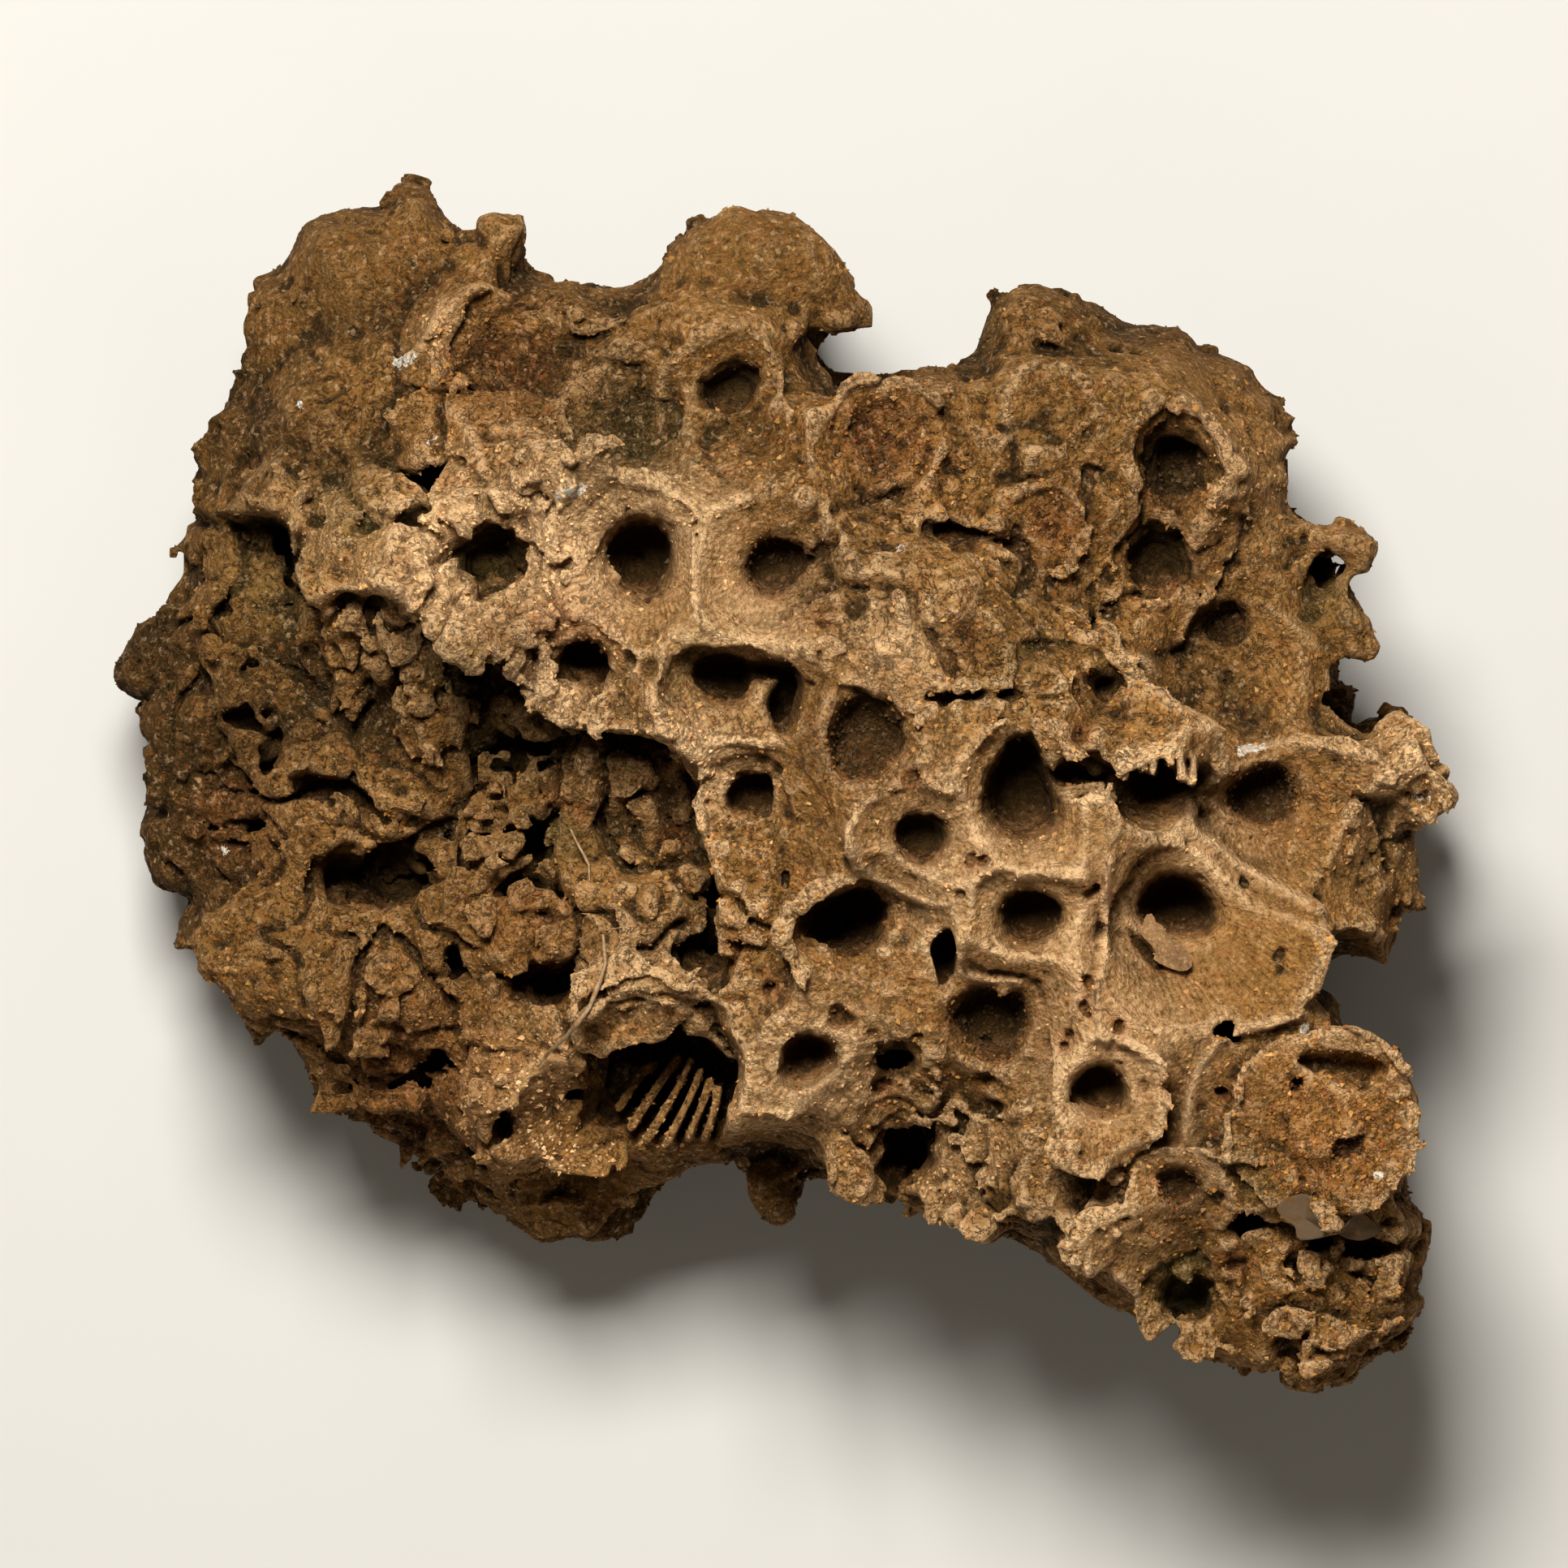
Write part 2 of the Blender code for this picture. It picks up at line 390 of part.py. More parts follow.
def spots_height(x, y, spots):
    """Height at a place in plan, from the spot heights around it."""
    total, weights = 0.0, 0.0
    for across, down, height in spots:
        spot_x, spot_y = to_plan((across, down))
        weight = ((x - spot_x) ** 2 + (y - spot_y) ** 2 + CROWN_SOFTNESS**2) ** -CROWN_FADE
        total, weights = total + weight * height, weights + weight
    return total / weights


def crown_height(x, y):
    """Height of the block's top at a place in plan: two tiers, with a steep step between."""
    lower = np.clip(0.5 - distance_to_outline(x, y, TIER_EDGE) / TIER_STEP, 0.0, 1.0)
    lower = lower * lower * (3.0 - 2.0 * lower)
    return spots_height(x, y, UPPER_CROWN) * (1.0 - lower) + spots_height(x, y, LOWER_CROWN) * lower


def crown_slope(x, y):
    """How fast the crown rises along X and along Y, measured over a few millimetres."""
    rise_x = crown_height(x + SLOPE_REACH, y) - crown_height(x - SLOPE_REACH, y)
    rise_y = crown_height(x, y + SLOPE_REACH) - crown_height(x, y - SLOPE_REACH)
    return rise_x / (2 * SLOPE_REACH), rise_y / (2 * SLOPE_REACH)


def fill_block(block):
    """The stone before any cup or hole: the outline in plan, domed on top and drawn in to its foot.

    Returns the distance in plan to the outline.
    """
    x, y, z = np.meshgrid(*block.axes, indexing="ij", sparse=True)
    outline = distance_to_outline(x[..., 0], y[..., 0], EDGE)[..., None]
    crown = crown_height(x, y)
    slope_x, slope_y = np.gradient(crown[..., 0], block.step)
    steepness = np.sqrt(1.0 + slope_x**2 + slope_y**2)[..., None]
    waist = WAIST_SHARE * crown
    below = np.clip((waist - z) / waist, 0.0, BELOW_MOST)
    above = np.clip((z - waist) / (crown - waist), 0.0, ABOVE_MOST)
    side = outline + FOOT_INSET * below**FOOT_CURVE + SHOULDER_INSET * above**2
    flute = np.clip(below * FLUTE_FOOT, FLUTE_LEAST, 1.0)
    side = side + FLUTE_DEPTH * flute * noise(block, FLUTE, NOISE_SEED - 1)
    side = side + BAND_DEPTH * noise(block, GROWTH_BAND, NOISE_SEED - 2)
    block.distance[:] = smooth_maximum(side, (z - crown) / steepness, EDGE_ROUND)
    return outline


def ellipsoid(x, y, z, size, turn):
    """Distance to an ellipsoid round the origin, turned about Z by degrees."""
    cosine, sine = math.cos(math.radians(turn)), math.sin(math.radians(turn))
    across, along = x * cosine + y * sine, y * cosine - x * sine
    level = np.sqrt((across / size[0]) ** 2 + (along / size[1]) ** 2 + (z / size[2]) ** 2)
    slope = np.sqrt((across / size[0] ** 2) ** 2 + (along / size[1] ** 2) ** 2 + (z / size[2] ** 2) ** 2)
    return level * (level - 1.0) / np.maximum(slope, 1e-6)


def add_lumps(block, ragged):
    for lump in LUMPS.values():
        spans, x, y, z = block.near((*to_plan(lump.at), lump.height), max(lump.size) + NEAR)
        shape = ellipsoid(x, y, z, lump.size, lump.turn) + LUMP_SHARE * ragged[spans]
        block.distance[spans] = smooth_minimum(block.distance[spans], shape, LUMP_BLEND)


def cut_hollows(block, ragged):
    for hollow in HOLLOWS.values():
        spans, x, y, z = block.near((*to_plan(hollow.at), hollow.height), max(hollow.size) + NEAR)
        share = HOLLOW_SHARE * min(1.0, min(hollow.size[:2]) / NARROW)
        shape = ellipsoid(x, y, z, hollow.size, hollow.turn) + share * ragged[spans]
        block.distance[spans] = smooth_maximum(block.distance[spans], -shape, HOLLOW_ROUND)


def frame_along(axis):
    """Three unit vectors square to each other, the last one along the axis."""
    axis = np.array(axis) / np.linalg.norm(axis)
    side = np.cross((0.0, 1.0, 0.0), axis)
    side /= np.linalg.norm(side)
    return side, np.cross(axis, side), axis


def crown_cup(cup):
    """The middle of a cup's rim on the crown, and its frame."""
    x, y = to_plan(cup.at)
    slope_x, slope_y = crown_slope(x, y)
    lean, toward = math.tan(math.radians(cup.lean)), math.radians(cup.toward)
    tip_x, tip_y = lean * math.cos(toward), lean * math.sin(toward)
    centre = (x, y, float(crown_height(x, y)) + cup.proud - CUP_SINK)
    return centre, frame_along((tip_x - AXIS_TILT * slope_x, tip_y - AXIS_TILT * slope_y, 1.0))


def flank_cup(number):
    """A cup that opens sideways out of the flank, with the middle of its rim and its frame."""
    start = int(number * len(EDGE) / FLANK_CUPS)
    run = EDGE[(start + FLANK_SPAN) % len(EDGE)] - EDGE[start - FLANK_SPAN]
    outward = np.array((-run[1], run[0])) / np.linalg.norm(run)
    waist = WAIST_SHARE * crown_height(*EDGE[start])
    share = FLANK_LOW + FLANK_RISE * (number * GOLDEN % 1.0)
    inset = FOOT_INSET * max(1.0 - share, 0.0) ** FOOT_CURVE + FLANK_SET
    place = EDGE[start] - outward * inset
    height = share * waist
    mouth = FLANK_MOUTH + FLANK_SPREAD * (3 * number * GOLDEN % 1.0)
    cup = calice(None, mouth, FLANK_PIT * mouth, FLANK_DEPTH * mouth, fall=FLANK_FALL * mouth)
    return cup, (*place, height), frame_along((*outward, FLANK_LIFT))


def all_cups():
    """Every cup with the middle of its rim and its frame."""
    crown = [(cup, *crown_cup(cup)) for cup in CALICES.values()]
    return crown + [flank_cup(number) for number in range(FLANK_CUPS)]


def cup_coordinates(block, cup, centre, frame, reach, follow_pit=True):
    """Height over the rim, distance from the axis and angle about it, for the samples near a cup.

    Below the rim the axis slides over to the pit, when that lies off the middle of the mouth.
    """
    spans, x, y, z = block.near(centre, reach)
    right, back, over = (x * v[0] + y * v[1] + z * v[2] for v in frame)
    if follow_pit and cup.pit_at != cup.at:
        slide = np.subtract(to_plan(cup.pit_at), to_plan(cup.at))
        share = np.clip(-over / cup.fall, 0.0, 1.0)
        right, back = right - slide[0] * share, back - slide[1] * share
    back = back / cup.tall
    return spans, over, np.sqrt(right**2 + back**2), np.arctan2(back, right)


def raise_walls(block, cups):
    """The tube of each cup that stands proud of the block."""
    for cup, centre, frame in cups:
        if cup.proud <= FLUSH:
            continue
        reach = cup.mouth + cup.depth + NEAR
        spans, over, radius, _ = cup_coordinates(block, cup, centre, frame, reach, False)
        tube = np.maximum(over, radius - cup.mouth - WALL - WALL_TAPER * over)
        block.distance[spans] = smooth_minimum(block.distance[spans], tube, WALL_BLEND)


def cup_profile(cup):
    """Radius and height along a cup's section, from the middle of its pit to the open air beyond its rim."""
    drop = cup.depth - cup.fall
    return (
        (0.0, -cup.depth),
        *((radius * cup.pit, -cup.fall - share * drop) for radius, share in PIT_SECTION),
        (LIP_WIDTH * cup.pit, -LIP_FALL * cup.fall),
        (MIDDLE_MOUTH * cup.mouth + MIDDLE_PIT * cup.pit, -RIM_RISE - MIDDLE_FALL * (cup.fall - RIM_RISE)),
        ((1.0 - RIM_WIDTH) * cup.mouth, -RIM_RISE),
        (cup.mouth, 0.0),
        (cup.mouth + OPEN_RUN, OPEN_RISE),
    )


def above_profile(radius, over, profile):
    """Distance to a turned section, above zero on its open side."""
    nearest = np.full(radius.shape, np.inf)
    for start, end in zip(profile, profile[1:]):
        run, rise = end[0] - start[0], end[1] - start[1]
        along = ((radius - start[0]) * run + (over - start[1]) * rise) / (run**2 + rise**2)
        along = np.clip(along, 0.0, 1.0)
        gap = (radius - start[0] - along * run) ** 2 + (over - start[1] - along * rise) ** 2
        nearest = np.minimum(nearest, gap)
    level = np.interp(radius, [p[0] for p in profile], [p[1] for p in profile])
    return np.where(over > level, 1.0, -1.0) * np.sqrt(nearest)


def cut_cups(block, cups, ragged):
    """Hollow out every cup."""
    for number, (cup, centre, frame) in enumerate(cups):
        reach = cup.mouth + cup.depth + NEAR
        spans, over, radius, angle = cup_coordinates(block, cup, centre, frame, reach)
        uneven = sum(height * np.sin(waves * angle + shift * number) for waves, shift, height in UNEVEN)
        corners = np.clip(radius / cup.mouth, 0.0, 1.0) ** 2 * np.sin(CORNERS * angle + number)
        uneven = uneven + CORNER_HEIGHT * corners
        air = above_profile(radius * (1.0 + uneven), over, cup_profile(cup)) + CUP_SHARE * ragged[spans]
        air = np.minimum(air, reach - 1.0 - np.sqrt(radius**2 + over**2))
        block.distance[spans] = np.maximum(block.distance[spans], air)


def spline_weights(places, count):
    """Weights of a cubic spline's control values, numbered from zero, at the given places."""
    apart = np.abs(places[:, None] - np.arange(count)[None, :])
    close = (4.0 - 6.0 * apart**2 + 3.0 * apart**3) / 6.0
    distant = np.clip(2.0 - apart, 0.0, None) ** 3 / 6.0
    return np.where(apart < 1.0, close, distant).astype(np.float32)


def noise(block, lump, seed):
    """Smooth random values of about -1 to 1 over the block, the same at any step, with lumps this wide."""
    lumps = np.broadcast_to(lump, 3)
    spans = np.subtract(BLOCK_HIGH, BLOCK_LOW)
    counts = [math.ceil(span / size) + SPARE_KNOTS for span, size in zip(spans, lumps)]
    values = np.random.default_rng(seed).uniform(-1.0, 1.0, counts).astype(np.float32)
    for k, axis in enumerate(block.axes):
        weights = spline_weights((axis - BLOCK_LOW[k]) / lumps[k] + FIRST_KNOT, counts[k])
        values = np.moveaxis(np.tensordot(weights, values, (1, k)), 0, k)
    return values


def broken_share(block, share=1.0):
    """How broken the stone is at each place of the plan: one where it is neither smooth nor crumbly."""
    x, y = np.meshgrid(*block.axes[:2], indexing="ij")
    rough = np.ones(x.shape)
    for place, radius, more in CRUMBLY:
        spot_x, spot_y = to_plan(place)
        rough += share * more * np.exp(-((x - spot_x) ** 2 + (y - spot_y) ** 2) / radius**2)
    return np.maximum(rough, 0.0)


def weather(block, octaves, seed, share=1.0):
    """Lumps and dents over all the stone, larger where it is more broken."""
    rough = broken_share(block, share)[..., None]
    for octave, (lump, height) in enumerate(octaves):
        block.distance += height * rough * noise(block, lump, seed + octave)


def coral_block(step):
    block = Block(step)
    ragged = sum(height * noise(block, lump, RAGGED_SEED + k) for k, (lump, height) in enumerate(RAGGED))
    outline = fill_block(block)
    add_lumps(block, ragged)
    weather(block, ROUGHNESS, NOISE_SEED)
    cups = all_cups()
    raise_walls(block, cups)
    block.distance = smooth_maximum(block.distance, outline - OUTLINE_MARGIN, MARGIN_ROUND)
    cut_cups(block, cups, ragged)
    cut_hollows(block, ragged)
    weather(block, WEAR, WEAR_SEED, WEAR_SHARE)
    block.distance = np.maximum(block.distance, -block.axes[2][None, None, :]).astype(np.float32)
    return block


def largest_shell(points, quads):
    """The faces of the largest connected surface, and its points renumbered."""
    label = np.arange(len(points))
    edges = np.concatenate([quads[:, [0, 1]], quads[:, [1, 2]], quads[:, [2, 3]]])
    while True:
        low = np.minimum(label[edges[:, 0]], label[edges[:, 1]])
        linked = label.copy()
        np.minimum.at(linked, label[edges[:, 0]], low)
        np.minimum.at(linked, label[edges[:, 1]], low)
        linked = linked[linked[linked]]
        if np.array_equal(linked, label):
            break
        label = linked
    kept = label == np.bincount(label).argmax()
    number = np.cumsum(kept) - 1
    return points[kept], number[quads[kept[quads[:, 0]]]]


def surface_of(block):
    """Points in mm and outward quads of the stone's one outer surface, where the distance is zero."""
    block.distance[[0, -1]] = block.distance[:, [0, -1]] = block.distance[:, :, [0, -1]] = FAR
    grid = openvdb.FloatGrid(FAR)
    grid.copyFromArray(np.clip(block.distance, -FAR, FAR))
    points, quads = grid.convertToQuads(0.0)
    points, quads = largest_shell(points, quads.astype(int))
    return points * block.step + np.array(BLOCK_LOW), quads


def new_object(name, points, faces, material):
    """An object in the scene, from points in mm."""
    mesh = bpy.data.meshes.new(name)
    mesh.from_pydata((np.asarray(points) * METRES).tolist(), [], [list(face) for face in faces])
    mesh.materials.append(material)
    mesh.update()
    thing = bpy.data.objects.new(name, mesh)
    bpy.context.scene.collection.objects.link(thing)
    return thing


def plain_material(name, colour):
    material = bpy.data.materials.new(name)
    material.use_nodes = True
    shader = material.node_tree.nodes["Principled BSDF"]
    shader.inputs["Base Color"].default_value = colour
    shader.inputs["Roughness"].default_value = ROUGH
    shader.inputs["Metallic"].default_value = 0.0
    return material


def thin_out(thing, triangles):
    """Replace an object's mesh by one of about this many triangles."""
    corners = sum(len(face.vertices) - 2 for face in thing.data.polygons)
    thinner = thing.modifiers.new("thinner", "DECIMATE")
    thinner.ratio = triangles / corners
    evaluated = thing.evaluated_get(bpy.context.evaluated_depsgraph_get())
    thinned = bpy.data.meshes.new_from_object(evaluated)
    thing.modifiers.remove(thinner)
    thing.data = thinned


def flatten_cut(mesh):
    """Put every point that is a hair off the cut face exactly on it."""
    for vertex in mesh.vertices:
        if vertex.co.z < CUT_SNAP * METRES:
            vertex.co.z = 0.0


def build_coral(block):
    points, quads = surface_of(block)
    coral = new_object("coral_colony", points, quads, plain_material("ochre_stone", COLOUR))
    thin_out(coral, TRIANGLES)
    flatten_cut(coral.data)
    coral.data.shade_smooth()
    return coral


def wall_height(block, x, y):
    """Height of the stone's upper surface at a place in plan."""
    column = block.distance[
        int(round((x - BLOCK_LOW[0]) / block.step)), int(round((y - BLOCK_LOW[1]) / block.step))
    ]
    top = np.nonzero(column < 0.0)[0].max()
    share = column[top] / (column[top] - column[top + 1])
    return BLOCK_LOW[2] + (top + share) * block.step


def build_flake(block):
    """A thin chip that leans in the great cup, clear of the wall by a hair all round."""
    rim = np.array([to_plan(place) for place in FLAKE_RIM])
    middle = rim.mean(axis=0)
    inner = middle + FLAKE_INNER * (rim - middle)
    lean_x, lean_y = FLAKE_SLOPE
    spots = np.concatenate([rim, inner, [middle]])
    lift = max(wall_height(block, x, y) - lean_x * x - lean_y * y for x, y in spots) + FLAKE_GAP
    arch = np.concatenate([np.zeros(len(rim)), np.full(len(inner), INNER_ARCH), [1.0]]) * FLAKE_ARCH
    under = lift + spots @ np.array(FLAKE_SLOPE) + arch
    lower = np.column_stack([spots, under])
    upper = lower + (0.0, 0.0, FLAKE_THICK)
    count, total = len(rim), len(spots)
    faces = []
    for k in range(count):
        after = (k + 1) % count
        faces += [(after, k, k + total, after + total)]
        faces += [(after + total, k + total, count + k + total, count + after + total)]
        faces += [(k, after, count + after, count + k)]
        faces += [(count + after + total, count + k + total, 2 * count + total)]
        faces += [(count + k, count + after, 2 * count)]
    points = np.concatenate([lower, upper])
    return new_object("loose_flake", points, faces, plain_material("pale_chip", CHIP_COLOUR))


def main():
    for old in list(bpy.data.objects):
        bpy.data.objects.remove(old)
    block = coral_block(STEP)
    build_coral(block)
    build_flake(block)


if __name__ == "__main__":
    main()
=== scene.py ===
"""A fossil colonial rugose coral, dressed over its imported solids.

The block is worked out again from nearly the same tables as its solid, on a finer grid, with the ribs,
crumbs, holes and grain that the solid leaves out, and it stands for that solid. Grains, a root fibre, two
hairs and a thin film lie on it. Places in the plan are pixels of the photograph, across and down. Other
lengths are millimetres, and meshes are in metres.
"""

import functools
import math
from collections import namedtuple

import bpy
import numpy as np
import openvdb
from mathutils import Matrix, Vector


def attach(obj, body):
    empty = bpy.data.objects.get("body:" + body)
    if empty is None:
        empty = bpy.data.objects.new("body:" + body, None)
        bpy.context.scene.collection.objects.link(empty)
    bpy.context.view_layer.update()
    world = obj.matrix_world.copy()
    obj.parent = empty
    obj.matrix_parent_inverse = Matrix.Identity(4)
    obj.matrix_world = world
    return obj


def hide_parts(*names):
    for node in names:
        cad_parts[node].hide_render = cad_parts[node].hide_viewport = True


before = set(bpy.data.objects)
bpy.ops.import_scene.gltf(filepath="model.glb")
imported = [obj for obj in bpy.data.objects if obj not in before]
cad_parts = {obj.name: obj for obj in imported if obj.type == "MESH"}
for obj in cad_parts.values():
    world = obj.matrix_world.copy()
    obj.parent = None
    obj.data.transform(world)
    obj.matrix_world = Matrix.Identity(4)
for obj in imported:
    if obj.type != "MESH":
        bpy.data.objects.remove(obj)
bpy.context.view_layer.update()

# The driving size, and what turns the photograph's pixels into it
WIDTH = 90.0
LEFT_PX, RIGHT_PX = 142, 1790
MIDDLE_PX = (966, 965)
MM_PER_PX = WIDTH / (RIGHT_PX - LEFT_PX)
METRES = 0.001

# The sampled block and the mesh that is drawn through it
STEP = 0.3
BLOCK_LOW = (-49.0, -45.0, -4.0)
BLOCK_HIGH = (49.0, 45.0, 50.0)
FAR = 6.0
NEAR = 3.0
TRIANGLES = 690000
CUT_SNAP = 0.05
LEAST_SLOPE, LEAST_LENGTH = 1e-6, 1e-12

# The sides: widest at a share of the crown's height, and drawn in above it and below it up to a limit
WAIST_SHARE = 0.52
FOOT_INSET = 9.5
FOOT_CURVE = 1.7
SHOULDER_INSET = 2.2
BELOW_MOST, ABOVE_MOST = 1.2, 1.5
EDGE_ROUND = 2.4
OUTLINE_MARGIN, MARGIN_ROUND = 0.2, 0.6

# The wall of a calice: its thickness at the rim, its taper and how softly it leaves the block
WALL = 0.45
WALL_TAPER = 0.30
WALL_BLEND = 0.8
WALL_REACH = (1.3, 5.0)
OPEN_RUN, OPEN_RISE = 5.0, 5.0
AXIS_TILT = 0.12
CUP_SINK = 0.9
FLUSH = 0.3

# A cup's section: its rim, the middle of its platform and the lip of its pit, then how much of the pit's
# radius and of its drop each step down the pit takes, from its middle
RIM_WIDTH, RIM_RISE = 0.10, 0.55
MIDDLE_MOUTH, MIDDLE_PIT, MIDDLE_FALL = 0.55, 0.52, 0.55
LIP_WIDTH, LIP_FALL = 1.30, 0.96
PIT_SECTION = ((0.55, 0.93), (0.76, 0.66), (0.87, 0.38), (0.96, 0.20), (1.08, 0.08))
PLATFORM_FALL = 0.55
CUP_LIMIT = 1.0

# How uneven a cup is: waves round its axis, how they turn from cup to cup and how high they are, and corners
UNEVEN = ((2, 1.7, 0.06), (3, 2.3, 0.05))
CORNERS, CORNER_HEIGHT = 6, 0.05

# Weathering: lumps this wide in mm, and how high each kind stands
ROUGHNESS = ((9.0, 2.0), (4.5, 1.2), (2.4, 0.6))
WEAR = ((4.5, 0.5), (2.4, 0.45))
FINE_WEAR = ((1.1, 0.28), (0.45, 0.32))
NOISE_SEED, WEAR_SEED, FINE_SEED = 7, 19, 43
WEAR_SHARE, FINE_SHARE = 0.7, 0.6
FISSURES = ((3.4, 0.9, 0.045), (1.7, 0.6, 0.06))
FISSURE_SEED, FISSURE_CALM, FISSURE_MOST = 131, 0.55, 1.6
FLUTE, FLUTE_DEPTH, FLUTE_SEED = (4.6, 4.6, 30.0), 4.5, 6
FLUTE_FOOT, FLUTE_LEAST = 3.0, 0.25
GROWTH_BAND, BAND_DEPTH, BAND_SEED = (25.0, 25.0, 3.2), 1.6, 5
FIRST_KNOT, SPARE_KNOTS = 1.5, 5

# Cups guessed on the flanks, which the photograph doesn't show: how many, where, how wide and how deep
FLANK_CUPS = 22
FLANK_SPAN = 8
FLANK_LOW, FLANK_RISE = 0.55, 0.55
FLANK_SET = 0.9
FLANK_LIFT = 0.35
FLANK_MOUTH, FLANK_SPREAD = 2.6, 1.6
FLANK_PIT, FLANK_DEPTH, FLANK_FALL = 0.45, 1.1, 0.35
GOLDEN = 0.618

# Irregularity that cups, lumps and hollows share: lumps this wide in mm, how high, and each one's share
RAGGED = ((2.6, 2.0), (1.3, 1.3))
RAGGED_SEED = 61
CUP_SHARE, LUMP_SHARE, HOLLOW_SHARE = 0.08, 0.6, 1.0

# The finish that the solid leaves out: growth rings round the cups, ribs down their platforms from a share of
# the pit's radius, and teeth round their pits, which grow from 0.4 to 0.9 of its radius and fade by 1.5
GROWTH_RING, RING_HEIGHT, RING_WAVER = 1.25, 0.10, 0.4
RIB_SPACING, RIB_HEIGHT, RIB_FROM, RIB_FADE = 0.95, 0.12, 0.9, 0.8
TOOTH_SPACING, TOOTH, TOOTH_WAVER = 0.80, 0.09, 1.5
TOOTH_GROWS, TOOTH_FADES = (2.0, 0.8), (3.75, 2.5)
FINE_RIB = 0.6

# Loose crystals: how many, their radii from and to, how far they sink in and their seed. Then how many lie
# outside the crystal spots and in red ones
GRAINS = (10000, (0.10, 0.30), 0.45, 101)
GRAIN_SPREAD, GRAIN_RED = 0.004, 0.4

# The crust of granules over the rest of the stone, the same way: more on rough, pale and level stone
GRANULES = (20000, (0.11, 0.30), 0.62, 149)
GRANULE_ROUGH, GRANULE_CALM, GRANULE_SHARES = 2.0, 0.35, (0.08, 1.2)
GRANULE_PALE, GRANULE_LEVEL, GRANULE_LEAST = 0.3, 0.4, 0.1

# The shape of a grain: how its axes and corners vary, and how far all of it has to lie over the cut face
GRAIN_POWER, GRAIN_AXES, GRAIN_CORNERS, GRAIN_CLEAR = 2.2, (0.55, 1.3), (0.65, 1.15), 0.3

# What lies on the stone: a root fibre, two hairs and a dried film in two sheets
ROOT = (
    (745, 1150), (748, 1185), (741, 1207), (728, 1240), (712, 1260), (697, 1278), (680, 1292), (664, 1312),
)
HAIR = ((703, 1018), (712, 1037), (722, 1055), (727, 1065), (728, 1085))
LONG_HAIR = ((712, 1157), (730, 1150), (742, 1146), (770, 1141), (795, 1150), (815, 1144))
FILM_WEST = (
    (1566, 1482), (1584, 1468), (1604, 1466), (1609, 1480), (1616, 1495), (1628, 1510), (1626, 1517),
    (1594, 1521), (1588, 1505), (1576, 1497),
)
FILM_EAST = (
    (1638, 1509), (1650, 1504), (1662, 1488), (1672, 1489), (1684, 1499), (1693, 1507), (1690, 1516),
    (1672, 1523), (1654, 1521), (1640, 1514),
)

# Fibres: sides and points along them, how many points a bridge spans, lift, ends and knots, by their radii
ROOT_RADIUS, HAIR_RADIUS, LONG_HAIR_RADIUS = 0.17, 0.11, 0.05
FIBRE_SIDES, FIBRE_POINTS, FIBRE_BRIDGE = 8, 60, 9
FIBRE_LIFT, FIBRE_END, FIBRE_TIP, FIBRE_SWELL = 0.8, 0.35, 0.04, 0.5
FIBRE_KNOT, FIBRE_KNOTS = 0.12, 23.0

# The film: its thickness, lift and sag, the rings that it is drawn in, and its ripples
FILM_THICK, FILM_LIFT, FILM_SAG, FILM_RINGS, FILM_SMOOTHINGS = 0.06, 0.3, 0.3, 8, 24
FILM_RIPPLE, FILM_RIPPLES = 0.06, 3.0

# The view from straight above, the light and the floor
IMAGE_PX = 1932
CREST = 22.0
CAMERA_RISE = 1500.0
CAMERA_CLIP = (0.1, 10.0)
KEY = ((-70.0, 260.0, 560.0), 200.0, 7.8, (1.0, 0.98, 0.93))
FILL = ((80.0, -500.0, 220.0), 400.0, 0.7, (1.0, 0.92, 0.80))
WORLD_COLOUR, WORLD_STRENGTH = (1.0, 0.89, 0.72, 1.0), 0.10
FLOOR_SIZE = 3000.0
FLOOR_COLOUR, FLOOR_SHADE = (0.47, 0.46, 0.44, 1.0), (0.45, 0.44, 0.42, 1.0)

Calice = namedtuple("Calice", "at pit_at mouth pit depth fall proud tall")
Blob = namedtuple("Blob", "at height size turn")
Strewn = namedtuple("Strewn", "at spread count small large flat")


def calice(at, mouth, pit, depth, pit_at=None, fall=None, proud=0.4, tall=1.0):
    """A cup: mouth and pit are radii, and fall is how far the floor sinks from the rim to the pit's edge.

    The pit may lie off the middle of the mouth. The axis follows the slope of the crown a little. Tall
    stretches the cup along Y.
    """
    fall = PLATFORM_FALL * (mouth - pit) if fall is None else fall
    return Calice(at, pit_at or at, mouth, pit, depth, fall, proud, tall)


# Where the stone is more broken than elsewhere: place, radius in mm and how much more
CRUMBLY = (
    ((560, 850), 8.0, 2.6), ((470, 1120), 10.0, 1.4), ((700, 1000), 7.0, 1.8), ((320, 900), 9.0, 1.5),
    ((820, 1150), 6.0, 2.4), ((560, 1360), 10.0, 1.6), ((1650, 1600), 8.0, 1.2), ((1180, 1440), 6.0, 1.2),
    ((600, 550), 8.0, 1.0), ((1390, 950), 4.0, 0.6), ((1720, 1000), 6.0, 1.2), ((400, 320), 9.0, -0.4),
    ((1300, 830), 6.0, 0.8), ((1350, 640), 9.0, 0.5), ((1080, 680), 7.0, 0.6), ((640, 560), 9.0, 0.5),
    ((780, 690), 9.0, -0.75), ((930, 760), 6.0, -0.6), ((1230, 1060), 12.0, -0.6), ((1480, 1150), 9.0, -0.7),
    ((990, 1320), 5.0, -0.6), ((1350, 1340), 6.0, -0.6), ((1600, 1010), 7.0, -0.6), ((1300, 1200), 6.0, -0.5),
    ((1040, 1440), 3.0, 1.2), ((1450, 1474), 4.5, -0.7), ((870, 1172), 3.0, -0.6),
    ((925, 330), 7.0, -0.6), ((700, 830), 4.0, -0.5), ((1450, 470), 7.0, -0.3),
)

